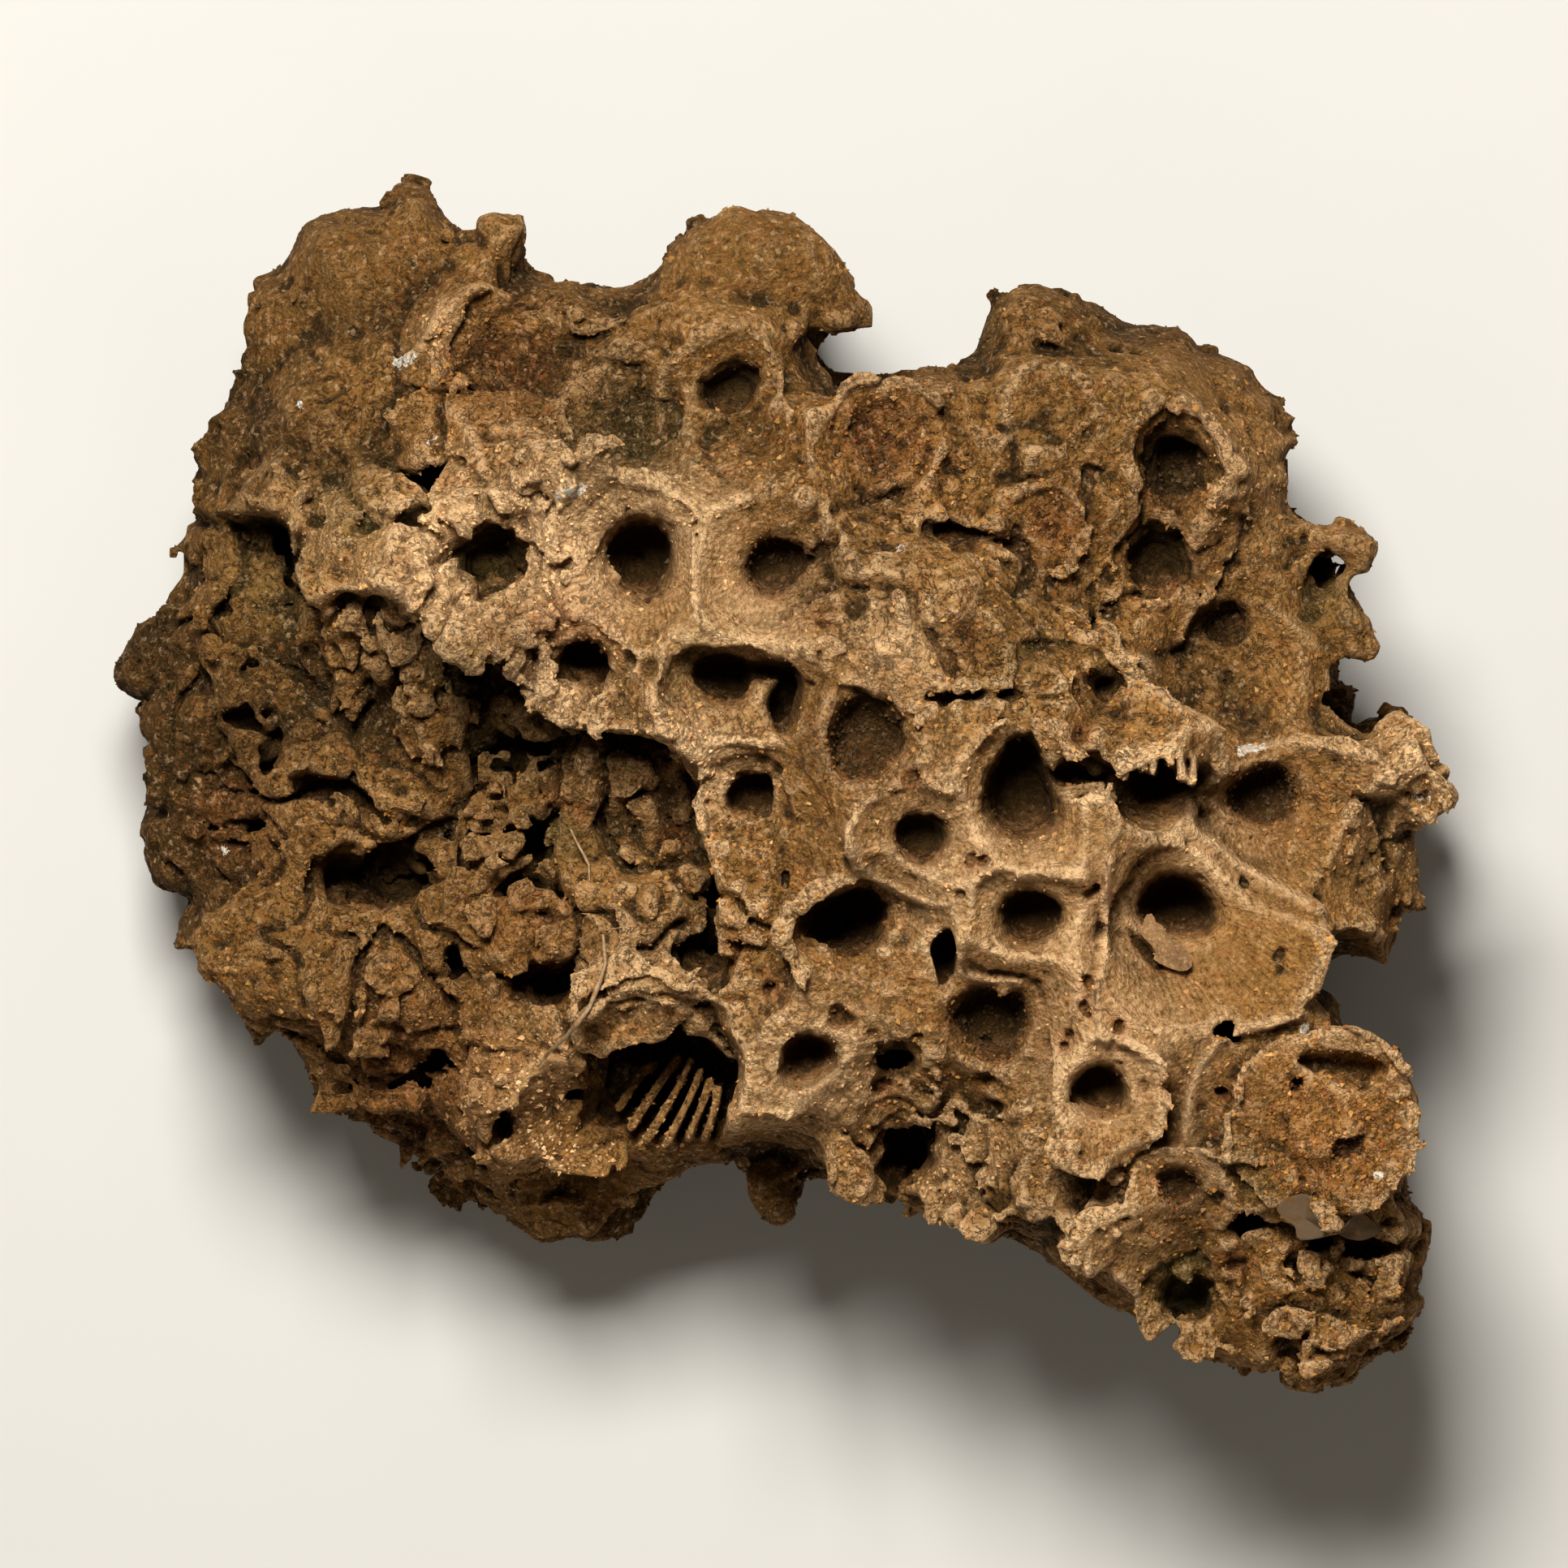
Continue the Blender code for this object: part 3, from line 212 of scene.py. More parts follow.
# Broken bits that stick to the stone: place, spread in mm, how many, half sizes from and to, and flatness
CRUMBS = (
    Strewn((560, 850), 4.5, 120, 0.3, 0.9, 0.8), Strewn((470, 770), 3.5, 45, 0.3, 0.8, 0.8),
    Strewn((690, 950), 4.0, 50, 0.3, 0.8, 0.8), Strewn((600, 930), 3.0, 40, 0.3, 0.8, 0.9),
    Strewn((800, 1115), 3.0, 45, 0.3, 0.9, 0.8), Strewn((935, 1150), 2.2, 30, 0.3, 0.7, 0.8),
    Strewn((640, 1120), 3.5, 20, 0.4, 1.1, 0.35), Strewn((650, 1400), 4.0, 30, 0.3, 0.9, 0.45),
    Strewn((450, 1300), 4.0, 45, 0.6, 1.8, 0.22), Strewn((330, 880), 6.0, 45, 0.3, 0.8, 0.6),
    Strewn((300, 580), 5.0, 35, 0.3, 0.8, 0.6), Strewn((480, 560), 5.0, 40, 0.3, 0.8, 0.8),
    Strewn((1640, 1600), 5.0, 60, 0.3, 0.7, 0.8), Strewn((1300, 1510), 5.0, 45, 0.3, 0.7, 0.8),
    Strewn((1180, 1460), 3.0, 20, 0.3, 0.6, 0.8), Strewn((1400, 900), 2.6, 14, 0.25, 0.5, 0.7),
    Strewn((1700, 1090), 4.0, 30, 0.3, 0.7, 0.8), Strewn((1080, 1230), 2.5, 14, 0.3, 0.7, 0.8),
)
FLANK_CRUMBS = 300
CRUMB_SEED, CRUMB_ROUND, CRUMB_AXES, CRUMB_REACH = 83, 0.08, (0.6, 1.1), 1.8
FLAKE_BELOW, FLAKE_TILT, FLAKE_WIDE = 0.6, 0.2, 1.3

# Of the strewn things more are small the larger the power is. Those on the flanks come along rays: how far
# out and how high they start, how they scatter and how much they sink, and the half sizes and flatness
STREWN_POWER = 1.6
FLANK_START, FLANK_HEIGHTS, FLANK_SCATTER, FLANK_STEEP = 2.0, (2.0, 26.0), 12.0, 0.25
FLANK_SIZES, FLANK_FLAT = (0.25, 0.75), 0.8

# Small holes in the stone, the same way
PORES = (
    Strewn((600, 850), 7.0, 60, 0.25, 0.7, 1.8), Strewn((1650, 1580), 7.0, 60, 0.2, 0.6, 1.8),
    Strewn((1300, 700), 12.0, 70, 0.15, 0.4, 1.5), Strewn((330, 1000), 10.0, 50, 0.2, 0.55, 1.6),
    Strewn((1250, 1350), 12.0, 60, 0.15, 0.45, 1.8), Strewn((966, 900), 24.0, 160, 0.15, 0.4, 1.5),
    Strewn((1588, 680), 0.7, 14, 0.2, 0.35, 1.5),
)
FLANK_PORES = 160
PORE_SEED, PORE_AXES, PORE_REACH = 97, (0.7, 1.3), 1.2

# Single small holes, rusty inside
SMALL_HOLES = (
    (1202, 1062), (1344, 1092), (1334, 1242), (1309, 1273), (1374, 1261), (1340, 1212), (1434, 1334),
    (1498, 1343), (1514, 1555), (685, 983), (828, 1032), (713, 999), (1040, 1253), (1089, 1340),
    (953, 1213), (905, 1162), (1590, 1335), (1640, 1410), (1120, 960), (1010, 770), (1325, 905),
)
HOLE_SPREAD, HOLE_BITES, HOLE_SIZES, HOLE_DEEP, HOLE_SEED = 0.20, 3, (0.32, 0.50), 2.6, 113
# Rust round each hole, painted shade inside it, and how that shade keeps to nooks
HOLE_RUST, HOLE_DARK, HOLE_NOOK = (1.0, 0.7), (0.50, 1.0), (4.0, 1.8)

# The silhouette, from the north-west knob round by the east
OUTLINE = (
    (486, 227), (524, 228), (544, 262), (582, 284), (602, 260), (652, 267), (660, 290), (650, 332),
    (700, 334), (765, 341), (806, 318), (842, 286), (890, 260), (925, 252), (962, 262), (1010, 298),
    (1038, 334), (1066, 376), (1076, 404), (1058, 433), (1024, 438), (1030, 449), (1100, 448),
    (1160, 436), (1197, 426), (1218, 380), (1243, 344), (1305, 346), (1356, 380), (1388, 394),
    (1463, 405), (1484, 426), (1534, 446), (1554, 472), (1582, 490), (1592, 520), (1610, 530),
    (1615, 552), (1604, 568), (1615, 598), (1604, 615), (1628, 642), (1676, 653), (1691, 672),
    (1681, 703), (1664, 706), (1658, 728), (1676, 757), (1698, 787), (1716, 809), (1702, 824),
    (1704, 840), (1680, 857), (1666, 886), (1678, 897), (1700, 881), (1714, 866), (1744, 893),
    (1758, 926), (1776, 947), (1790, 990), (1756, 1002), (1745, 1042), (1761, 1098),
    (1771, 1132), (1727, 1128), (1722, 1165), (1708, 1199), (1650, 1176), (1622, 1206), (1656, 1228),
    (1668, 1256), (1716, 1296), (1745, 1342), (1750, 1392), (1745, 1445), (1736, 1468), (1757, 1500),
    (1752, 1550), (1738, 1588), (1751, 1606), (1735, 1638), (1718, 1665), (1698, 1669), (1660, 1700),
    (1586, 1704), (1580, 1668), (1560, 1687), (1500, 1675), (1464, 1671), (1446, 1658), (1456, 1640),
    (1450, 1612), (1430, 1628), (1413, 1647), (1392, 1634), (1350, 1600), (1292, 1556), (1242, 1520),
    (1210, 1527), (1160, 1500), (1105, 1498), (1060, 1474), (1003, 1462), (960, 1504), (925, 1480),
    (900, 1436), (856, 1431), (822, 1462), (790, 1506), (745, 1530), (700, 1518), (655, 1528),
    (604, 1482), (575, 1500), (535, 1494), (495, 1436), (461, 1400), (396, 1362), (386, 1316),
    (345, 1268), (314, 1286), (284, 1225), (214, 1187), (208, 1150), (222, 1112), (186, 1092),
    (165, 1011), (159, 962), (178, 925), (174, 872), (142, 829), (158, 795), (185, 742), (215, 710),
    (206, 690), (190, 676), (204, 655), (203, 636), (232, 604), (234, 540), (232, 499), (284, 458),
    (278, 396), (304, 337), (338, 320), (372, 270), (430, 256), (479, 250),
)

# The lie of the crown on its upper and its lower tier: across, down and the height over the cut face
UPPER_CROWN = (
    (450, 655, 33), (520, 690, 36), (600, 735, 38), (640, 790, 38), (770, 640, 41), (940, 600, 41),
    (720, 850, 39), (860, 885, 41), (1060, 800, 43), (1130, 960, 44), (1300, 1060, 44), (1440, 1000, 43),
    (1560, 1150, 41), (1340, 1290, 42), (1450, 1420, 39), (1610, 1370, 39), (1200, 1400, 39),
    (1040, 1240, 41), (920, 1330, 38), (890, 1050, 38), (905, 1200, 37), (1650, 1600, 36),
    (1480, 1640, 33), (1250, 1490, 38), (1390, 1570, 36), (1100, 500, 37), (1280, 500, 36),
    (1450, 560, 35), (1300, 380, 28), (1560, 470, 28), (1600, 700, 31), (1650, 830, 31), (1700, 980, 37),
    (1745, 940, 35), (1735, 1040, 34), (1690, 1125, 37), (1745, 1105, 31),
    (900, 430, 34), (920, 310, 27), (760, 420, 32), (640, 420, 32), (480, 320, 26),
    (400, 540, 29), (320, 400, 23), (250, 520, 22), (380, 640, 30), (950, 1470, 18),
    (1050, 1425, 36), (1110, 1490, 27),
)
LOWER_CROWN = (
    (215, 680, 20), (300, 700, 23), (180, 820, 18), (320, 820, 25), (420, 770, 29), (490, 770, 31),
    (545, 810, 30), (620, 860, 29), (560, 880, 30), (400, 940, 28), (660, 930, 28.4), (780, 950, 30.4),
    (800, 1010, 30), (190, 1010, 18), (600, 1080, 28), (470, 1080, 27), (380, 1190, 26), (240, 1160, 20),
    (800, 1110, 31), (740, 1210, 29), (860, 1230, 34), (650, 1370, 28), (820, 1340, 25), (450, 1300, 20),
    (520, 1430, 16), (700, 1500, 15),
)

# A curve round the lower tier, and how far in plan the step up from it takes
LOWER_TIER = (
    (60, 590), (200, 622), (270, 642), (330, 642), (360, 660), (370, 705), (392, 742), (432, 722),
    (500, 736), (545, 757), (580, 790), (628, 800), (655, 845), (690, 878), (742, 893), (800, 902),
    (836, 926), (860, 962), (870, 1010), (868, 1062), (884, 1095), (880, 1135), (892, 1190),
    (884, 1255), (906, 1310), (892, 1380), (880, 1440), (860, 1600), (60, 1620),
)
TIER_STEP = 1.5
CROWN_SOFTNESS, CROWN_FADE = 2.6, 2.5
SLOPE_REACH = 3.0

# Thin walls that stand a little over the rest, as lines through places, with their width and rise in mm
RIDGES = (
    ((1364, 1055), (1356, 1104), (1360, 1147), (1353, 1197), (1344, 1233), (1356, 1276)),
    ((1250, 1079), (1290, 1078), (1332, 1083)),
    ((1461, 976), (1464, 1018), (1500, 1047), (1529, 1069), (1571, 1093), (1621, 1119)),
    ((1171, 1111), (1182, 1161), (1181, 1190), (1207, 1204), (1250, 1208)),
    ((1043, 1018), (1054, 1061), (1093, 1090), (1143, 1111), (1171, 1111)),
    ((1457, 1390), (1462, 1340), (1475, 1306), (1503, 1276), (1543, 1258), (1600, 1247)),
    ((851, 648), (856, 700), (860, 752), (876, 775)),
    ((1018, 625), (1016, 668)),
    ((1495, 735), (1466, 757), (1453, 790)),
    ((1560, 750), (1597, 778), (1617, 797)),
    ((1530, 925), (1590, 915), (1640, 925), (1690, 935)),
    ((355, 955), (385, 945), (440, 962), (482, 986), (530, 1005), (580, 1000)),
    ((560, 885), (570, 925), (580, 970)),
    ((425, 1027), (455, 1040), (485, 1034)),
    ((868, 1000), (868, 1040)),
    ((1240, 545), (1237, 505), (1250, 468), (1275, 452)),
    ((535, 640), (560, 615), (620, 610), (660, 630)),
    ((1375, 815), (1402, 812), (1416, 826)),
    ((1382, 836), (1408, 842)),
    ((579, 1358), (600, 1340), (621, 1332), (659, 1313), (704, 1302)),
    ((636, 1385), (667, 1415), (689, 1438), (735, 1442), (752, 1452)),
    ((303, 612), (315, 588), (345, 572)),
    ((548, 372), (530, 415), (512, 443)),
    ((565, 512), (590, 555), (600, 592)),
    ((690, 500), (710, 475), (750, 455)),
    ((815, 520), (812, 490), (818, 462)),
    ((640, 1490), (680, 1484), (716, 1486)),
    ((378, 608), (366, 640), (364, 690), (376, 722)),
    ((800, 1232), (840, 1238), (870, 1265), (900, 1302)),
)
RIDGE_WIDTH, RIDGE_RISE = 0.3, 0.5

# Thin upright plates: the ribs in the broken hollow and the comb over the jagged gap, as lines through places
# with the heights of their foot and top in mm
BLADES = (
    (((762, 1366), (790, 1324), (806, 1312)), 17.0, 23.6),
    (((778, 1388), (808, 1342), (836, 1304)), 17.0, 24.6),
    (((797, 1404), (830, 1350), (852, 1306)), 17.0, 25.6),
    (((822, 1408), (848, 1356), (864, 1318)), 17.0, 26.2),
    (((848, 1402), (864, 1364), (875, 1330)), 17.0, 26.8),
    (((868, 1402), (880, 1368), (886, 1340)), 17.0, 27.2),
    (((1382, 926), (1380, 958)), 39.0, 42.2), (((1398, 924), (1402, 946)), 39.0, 42.4),
    (((1417, 922), (1414, 950)), 39.0, 42.4), (((1433, 922), (1436, 940)), 39.0, 42.4),
    (((1448, 924), (1450, 958)), 39.0, 42.2), (((1466, 932), (1463, 964)), 39.0, 42.0),
    (((1312, 974), (1352, 970)), 36.0, 41.0), (((1316, 988), (1366, 984)), 35.0, 40.4),
)
BLADE_HALF, BLADE_BLEND, BLADE_SHARE, BLADE_REACH = 0.24, 0.25, 0.12, 2.0
BLADE_HALO, BLADE_PALE, BLADE_UPWARD = 1.5, 0.85, 0.5
BLADE_PALE_FROM, BLADE_LOW_SHARE = (28.0, 38.0), 0.12

# In a pit or a narrow gap: how much light, rust and crystal its south side has
PIT_LIT, PIT_RED, PIT_CRYSTAL = 0.65, 0.55, 0.5

# The pit mask is painted shade, for cups' pits, narrow gaps and small holes
# Where a cup counts as its pit: below a share of its platform's fall and fully by a share of its pit's drop,
# inside an edge, over a floor, and in deep cups only. Height off a rim counts little for whose cup a point is
PIT_FROM, PIT_FULL, PIT_EDGE, PIT_FLOOR = 0.8, 0.55, (3.4, 2.0), 1.0
PIT_LEAST, PIT_FADE, HEIGHT_COUNTS = 2.5, 2.5, 0.1

# Where a hollow counts as a narrow gap, which is painted dark as shade, by its half width, and how deep and
# how far it does
WIDE_GAP, GAP_MOUTH, GAP_FADE, GAP_EDGE, GAP_FLOOR = 2.2, 1.0, 2.5, (3.0, 2.0), 2.0

# What the masks measure: how far a nook and a hollow reach, how deep is deep, how broken is rough, and how
# far down white spots fade
NOOK_REACH, HOLLOW_REACH, DEEP, ROUGH_FULL, WHITE_DEEP = 0.6, 2.4, 12.0, 2.0, (4.5, 2.0)

# How much of the painted shade of depth the steep sides take, and how much higher they count as lying, so
# that the painted light by height makes them paler
FLANK_DEPTH_SHADE, FLANK_BRIGHT = 0.6, 6.0

CALICES = {
    "west_spur": calice((606, 694), 3.6, 2.1, 7.0, pit_at=(608, 688), proud=0.5),
    "crest_great": calice((765, 700), 5.9, 2.6, 11.0, pit_at=(788, 695), fall=2.4),
    "crest_east": calice((942, 692), 5.2, 2.1, 6.5, pit_at=(955, 697), fall=2.4),
    "edge_small": calice((712, 832), 3.7, 1.7, 7.5, pit_at=(718, 822), proud=0.6),
    "broken_wide": calice((900, 868), 4.9, 2.3, 8.0, pit_at=(892, 836), fall=2.4, proud=0.3, tall=0.8),
    "red_floor": calice((1060, 918), 3.7, 2.9, 4.6, pit_at=(1062, 908), proud=0.3),
    "nibbled": calice((918, 990), 3.0, 1.4, 5.0, pit_at=(922, 980), proud=0.5),
    "middle_small": calice((1128, 1044), 4.4, 1.8, 6.0, pit_at=(1131, 1034), fall=1.7, proud=0.5),
    "middle_open": calice((1258, 988), 4.4, 2.8, 9.5, pit_at=(1256, 978), fall=1.2, proud=0.4, tall=1.15),
    "shadowed": calice((1062, 1160), 5.2, 2.8, 9.5, pit_at=(1043, 1132), fall=1.8, tall=0.8),
    "hexagon": calice((1268, 1146), 4.7, 2.0, 7.5, pit_at=(1265, 1130), fall=1.9, proud=0.5),
    "great_fan": calice((1494, 1150), 7.9, 2.6, 10.5, pit_at=(1447, 1116), fall=3.0, proud=0.5, tall=0.80),
    "twin_floor": calice((1220, 1272), 4.8, 3.0, 6.5, pit_at=(1217, 1260), proud=0.4, tall=0.88),
    "ringed": calice((991, 1318), 4.1, 1.9, 7.5, pit_at=(993, 1309), proud=2.1),
    "south_cup": calice((1352, 1360), 4.6, 1.9, 6.6, pit_at=(1350, 1342), proud=1.9),
    "south_button": calice((1450, 1474), 3.6, 1.6, 4.4, pit_at=(1448, 1462), fall=1.5, proud=2.2),
    "drum": calice((1624, 1385), 6.7, 5.1, 2.2, fall=0.9, proud=3.0),
    "east_fan": calice((1597, 1008), 6.2, 2.3, 8.0, pit_at=(1560, 975), fall=2.8, proud=0.9, tall=0.95),
    "north_east_oval": calice((1446, 576), 2.6, 2.0, 7.0, fall=0.8, proud=0.4, tall=1.45),
    "east_shaded": calice((1430, 705), 2.9, 2.2, 5.4, pit_at=(1426, 692), proud=0.3, tall=0.9),
    "east_slope": calice((1535, 800), 4.4, 1.5, 3.6, pit_at=(1515, 768), fall=1.6, proud=0.3),
    "laminated": calice((1388, 860), 2.9, 0.9, 6.5, pit_at=(1360, 838), fall=1.4, proud=0.2),
    "faint_ring": calice((1288, 655), 2.8, 1.6, 1.2, proud=0.7),
    "rusty_bowl": calice((1090, 542), 3.9, 2.9, 2.6, proud=0.6),
    "filled_north": calice((1280, 503), 2.9, 1.9, 0.9, proud=0.5),
    "filled_middle": calice((1205, 790), 2.9, 2.2, 1.3, proud=0.2),
    "little_cup": calice((1057, 752), 2.6, 1.2, 2.0, pit_at=(1050, 745), proud=0.5),
    "filled_crest": calice((905, 578), 2.8, 2.0, 1.4, proud=0.5),
    "crescent": calice((890, 482), 3.7, 2.0, 5.2, pit_at=(902, 478), proud=0.8),
    "north_filled": calice((768, 505), 3.7, 2.6, 1.6, proud=0.5),
    "north_west_bowl": calice((638, 430), 4.8, 3.6, 2.2, fall=1.2, proud=0.3, tall=0.72),
    "spur_cup": calice((728, 1392), 5.0, 2.4, 4.6, pit_at=(760, 1380), fall=1.6, proud=1.2, tall=0.62),
    "window": calice((1115, 1430), 2.7, 2.2, 9.0, proud=0.6, tall=1.25),
    "green_throat": calice((1468, 1606), 3.7, 2.0, 6.0, pit_at=(1462, 1596), proud=1.5),
    "south_east_worn": calice((1668, 1600), 3.2, 2.0, 1.6, proud=0.0),
    "far_east": calice((1720, 1065), 2.8, 1.4, 2.6, proud=0.0),
}

# Lumps and plates that stand on the block: middle, height of it, half sizes along X, Y and Z, and a turn
LUMPS = {
    "north_dome": Blob((935, 345), 24.0, (6.6, 4.2, 7.4), 0),
    "dome_lip": Blob((935, 402), 25.5, (6.6, 1.2, 2.4), 0),
    "dome_tooth": Blob((1036, 400), 25.5, (2.2, 1.5, 4.0), 20),
    "dome_nodule": Blob((888, 374), 29.8, (0.9, 0.8, 1.0), 0),
    "dome_bead": Blob((861, 380), 29.4, (0.7, 0.7, 0.9), 0),
    "top_knob": Blob((512, 290), 20.0, (1.0, 1.8, 4.0), 10),
    "second_knob": Blob((620, 308), 22.0, (1.9, 2.1, 5.0), 0),
    "north_east_peak": Blob((1285, 410), 24.0, (3.2, 1.8, 5.5), 0),
    "east_horn": Blob((1640, 669), 27.0, (3.2, 1.7, 4.0), -18),
    "east_slope_edge": Blob((1656, 768), 24.0, (3.4, 4.2, 7.0), -20),
    "east_spike": Blob((1738, 948), 31.0, (2.4, 4.2, 5.5), 25),
    "west_ledge": Blob((470, 955), 28.0, (7.5, 2.4, 1.1), -16),
    "ledge_end": Blob((590, 985), 28.0, (3.4, 1.6, 1.1), 10),
    "second_ledge": Blob((470, 1025), 25.5, (4.6, 1.5, 1.0), -14),
    "middle_plate": Blob((598, 1072), 28.6, (3.6, 4.4, 1.4), 0),
    "plate_foot": Blob((625, 1140), 27.6, (2.0, 2.0, 1.2), 0),
    "south_mound": Blob((400, 1185), 23.5, (9.5, 4.4, 4.0), -12),
    "crumb_knob": Blob((808, 1104), 29.5, (4.0, 3.0, 4.0), 0),
    "south_ridge": Blob((862, 1222), 34.0, (5.6, 1.6, 3.0), -22),
    "torn_slope": Blob((500, 800), 29.0, (5.5, 4.0, 3.0), -38),
    "low_foot": Blob((700, 1480), 11.0, (7.5, 3.4, 5.0), 0),
    "hanging_tip": Blob((950, 1466), 15.0, (2.4, 3.2, 6.0), 0),
    "window_west": Blob((1038, 1432), 33.0, (1.7, 2.7, 5.0), 8),
    "window_east": Blob((1196, 1456), 32.5, (2.6, 4.4, 5.5), 12),
    "laminae": Blob((450, 1312), 17.5, (5.0, 2.8, 3.6), -20),
    "pale_lamina": Blob((413, 1276), 20.5, (1.2, 0.8, 1.2), -10),
    "south_shelf": Blob((1330, 1510), 36.0, (5.5, 3.0, 4.0), -38),
    "floor_chunk": Blob((1090, 1215), 40.0, (1.5, 1.4, 1.6), 0),
}
LUMP_BLEND = 1.6

# Holes that are not calices, such as gaps between the tubes and undercuts below the broken edge
HOLLOWS = {
    "west_drop": Blob((354, 696), 22.0, (0.7, 1.9, 6.0), 4),
    "west_bowl": Blob((318, 688), 24.0, (2.0, 2.4, 1.8), 0),
    "ring_slit": Blob((1251, 655), 36.5, (0.4, 0.8, 2.0), 15),
    "slope_pit": Blob((1480, 765), 33.0, (0.9, 0.8, 3.0), 0),
    "lamina_pit": Blob((1386, 876), 35.0, (0.5, 0.8, 1.6), -20),
    "north_nick": Blob((1340, 533), 36.0, (0.7, 0.25, 1.4), 40),
    "slot": Blob((290, 1018), 21.5, (3.4, 0.8, 3.0), 5),
    "great_hollow": Blob((470, 1085), 25.5, (3.9, 2.0, 4.4), 12),
    "hollow_west": Blob((415, 1070), 25.0, (1.4, 1.3, 3.4), 30),
    "ledge_hollow": Blob((410, 978), 26.0, (2.8, 1.1, 2.6), -12),
    "undercut": Blob((758, 909), 33.0, (4.2, 1.4, 3.6), -8),
    "broad_hollow": Blob((790, 985), 31.5, (3.6, 2.0, 1.6), 0),
    "crack": Blob((662, 1030), 25.5, (0.7, 2.6, 4.0), 14),
    "crack_foot": Blob((655, 1110), 25.5, (0.6, 2.4, 3.5), -18),
    "plate_hole": Blob((621, 1385), 26.5, (0.45, 0.9, 4.0), 0),
    "bowl_hole": Blob((707, 1347), 26.0, (0.5, 0.5, 4.0), 0),
    "strata_shadow": Blob((500, 1332), 19.0, (3.0, 0.6, 3.0), -3),
    "west_shadow": Blob((325, 1232), 19.0, (2.4, 0.5, 3.0), -8),
    "small_black": Blob((763, 1183), 29.5, (0.6, 0.6, 3.0), 0),
    "bowl_end": Blob((708, 430), 31.0, (0.9, 1.1, 1.6), 0),
    "west_pit": Blob((300, 580), 25.0, (0.9, 1.8, 2.4), -25),
    "spur_pit": Blob((520, 635), 34.0, (1.1, 0.8, 3.0), 20),
    "root_hollow": Blob((700, 1214), 28.5, (3.0, 1.5, 6.0), 0),
    "layered_hollow": Blob((548, 1275), 19.0, (2.4, 3.4, 5.0), -20),
    "ribbed_hollow": Blob((812, 1327), 27.0, (5.8, 4.0, 7.4), -12),
    "north_gap": Blob((868, 1172), 31.0, (2.1, 1.9, 6.5), 0),
    "window_mouth": Blob((1116, 1488), 36.0, (1.9, 2.2, 8.0), 0),
    "chip_gap": Blob((1408, 1172), 38.0, (1.5, 0.35, 1.3), -50),
    "tube_gap": Blob((1164, 1178), 38.0, (0.8, 1.9, 4.5), -12),
    "square_gap": Blob((1103, 1304), 38.5, (1.2, 0.95, 7.0), 0),
    "drum_gap": Blob((1503, 1269), 38.5, (1.5, 1.0, 6.5), -5),
    "side_gap": Blob((966, 862), 38.5, (1.1, 2.5, 6.0), -10),
    "upper_gap": Blob((942, 830), 38.5, (2.0, 0.8, 5.0), 0),
    "jagged_gap": Blob((1418, 968), 40.0, (3.1, 2.1, 7.0), 8),
    "jagged_notch": Blob((1330, 956), 40.0, (2.0, 1.0, 5.0), 0),
    "open_peak": Blob((1253, 934), 40.0, (1.3, 1.7, 6.0), 0),
    "north_overhang": Blob((1170, 660), 38.0, (1.7, 0.6, 3.0), -10),
    "north_slit": Blob((1200, 672), 38.5, (1.6, 0.4, 2.4), 15),
    "horn_slot": Blob((1630, 700), 26.0, (0.9, 0.7, 4.0), 0),
    "film_cavity": Blob((1620, 1530), 33.0, (1.5, 1.0, 4.5), 0),
    "film_hole": Blob((1627, 1491), 35.0, (0.7, 0.6, 3.0), 0),
    "film_gap": Blob((1668, 1538), 34.0, (1.5, 0.7, 3.0), -5),
    "drum_slot": Blob((1645, 1310), 39.0, (3.2, 1.0, 2.4), -6),
    "north_shade": Blob((545, 605), 30.5, (0.9, 1.9, 3.0), 28),
    "torn_shade": Blob((585, 830), 30.0, (1.8, 1.1, 3.5), -35),
    "dark_pocket": Blob((625, 945), 27.0, (1.5, 1.2, 3.5), -20),
    "dark_slit": Blob((665, 930), 27.0, (0.5, 1.6, 3.5), 12),
    "west_pocket": Blob((292, 884), 23.5, (1.7, 0.8, 3.4), 0),
    "west_crack": Blob((335, 932), 24.0, (0.8, 1.7, 4.0), -14),
    "east_pocket": Blob((1593, 1560), 35.0, (0.6, 1.1, 3.0), 25),
    "pale_pocket": Blob((1533, 1500), 36.0, (1.2, 0.7, 3.0), 25),
    "south_pocket": Blob((1290, 1508), 36.0, (1.3, 0.8, 3.0), 0),
    "south_nick": Blob((1232, 1470), 38.0, (0.9, 0.7, 3.0), 0),
    "edge_pocket": Blob((1700, 1605), 35.0, (0.8, 0.7, 2.5), 0),
    "torn_pocket": Blob((545, 785), 31.0, (2.0, 0.8, 3.0), -20),
    "plate_gap": Blob((560, 1180), 26.0, (0.7, 1.4, 2.6), 15),
    "rim_pit": Blob((406, 1216), 23.0, (0.6, 0.6, 3.0), 0),
    "knob_gap": Blob((876, 1110), 33.0, (0.6, 2.2, 4.0), 10),
    "wall_crack": Blob((1200, 858), 42.0, (3.6, 0.35, 1.8), 3),
    "fan_slit": Blob((1372, 1150), 41.5, (0.3, 0.9, 1.4), 0),
}
HOLLOW_ROUND, NARROW = 0.5, 1.5

# Colours, as linear red, green and blue
DARK = (0.030, 0.0165, 0.0045, 1.0)
BROWN = (0.176, 0.077, 0.0150, 1.0)
OCHRE = (0.330, 0.148, 0.0335, 1.0)
TAN = (0.490, 0.240, 0.066, 1.0)
PALE = (0.900, 0.580, 0.300, 1.0)
OLIVE = (0.105, 0.085, 0.022, 1.0)
FILM = (0.095, 0.064, 0.038, 1.0)
FIBRE = (0.260, 0.175, 0.095, 1.0)
RUST = (0.300, 0.085, 0.018, 1.0)
WHITE = (0.760, 0.680, 0.560, 1.0)
CHIP_DARK = (0.110, 0.050, 0.013, 1.0)
CHIP_PALE = (0.190, 0.095, 0.030, 1.0)

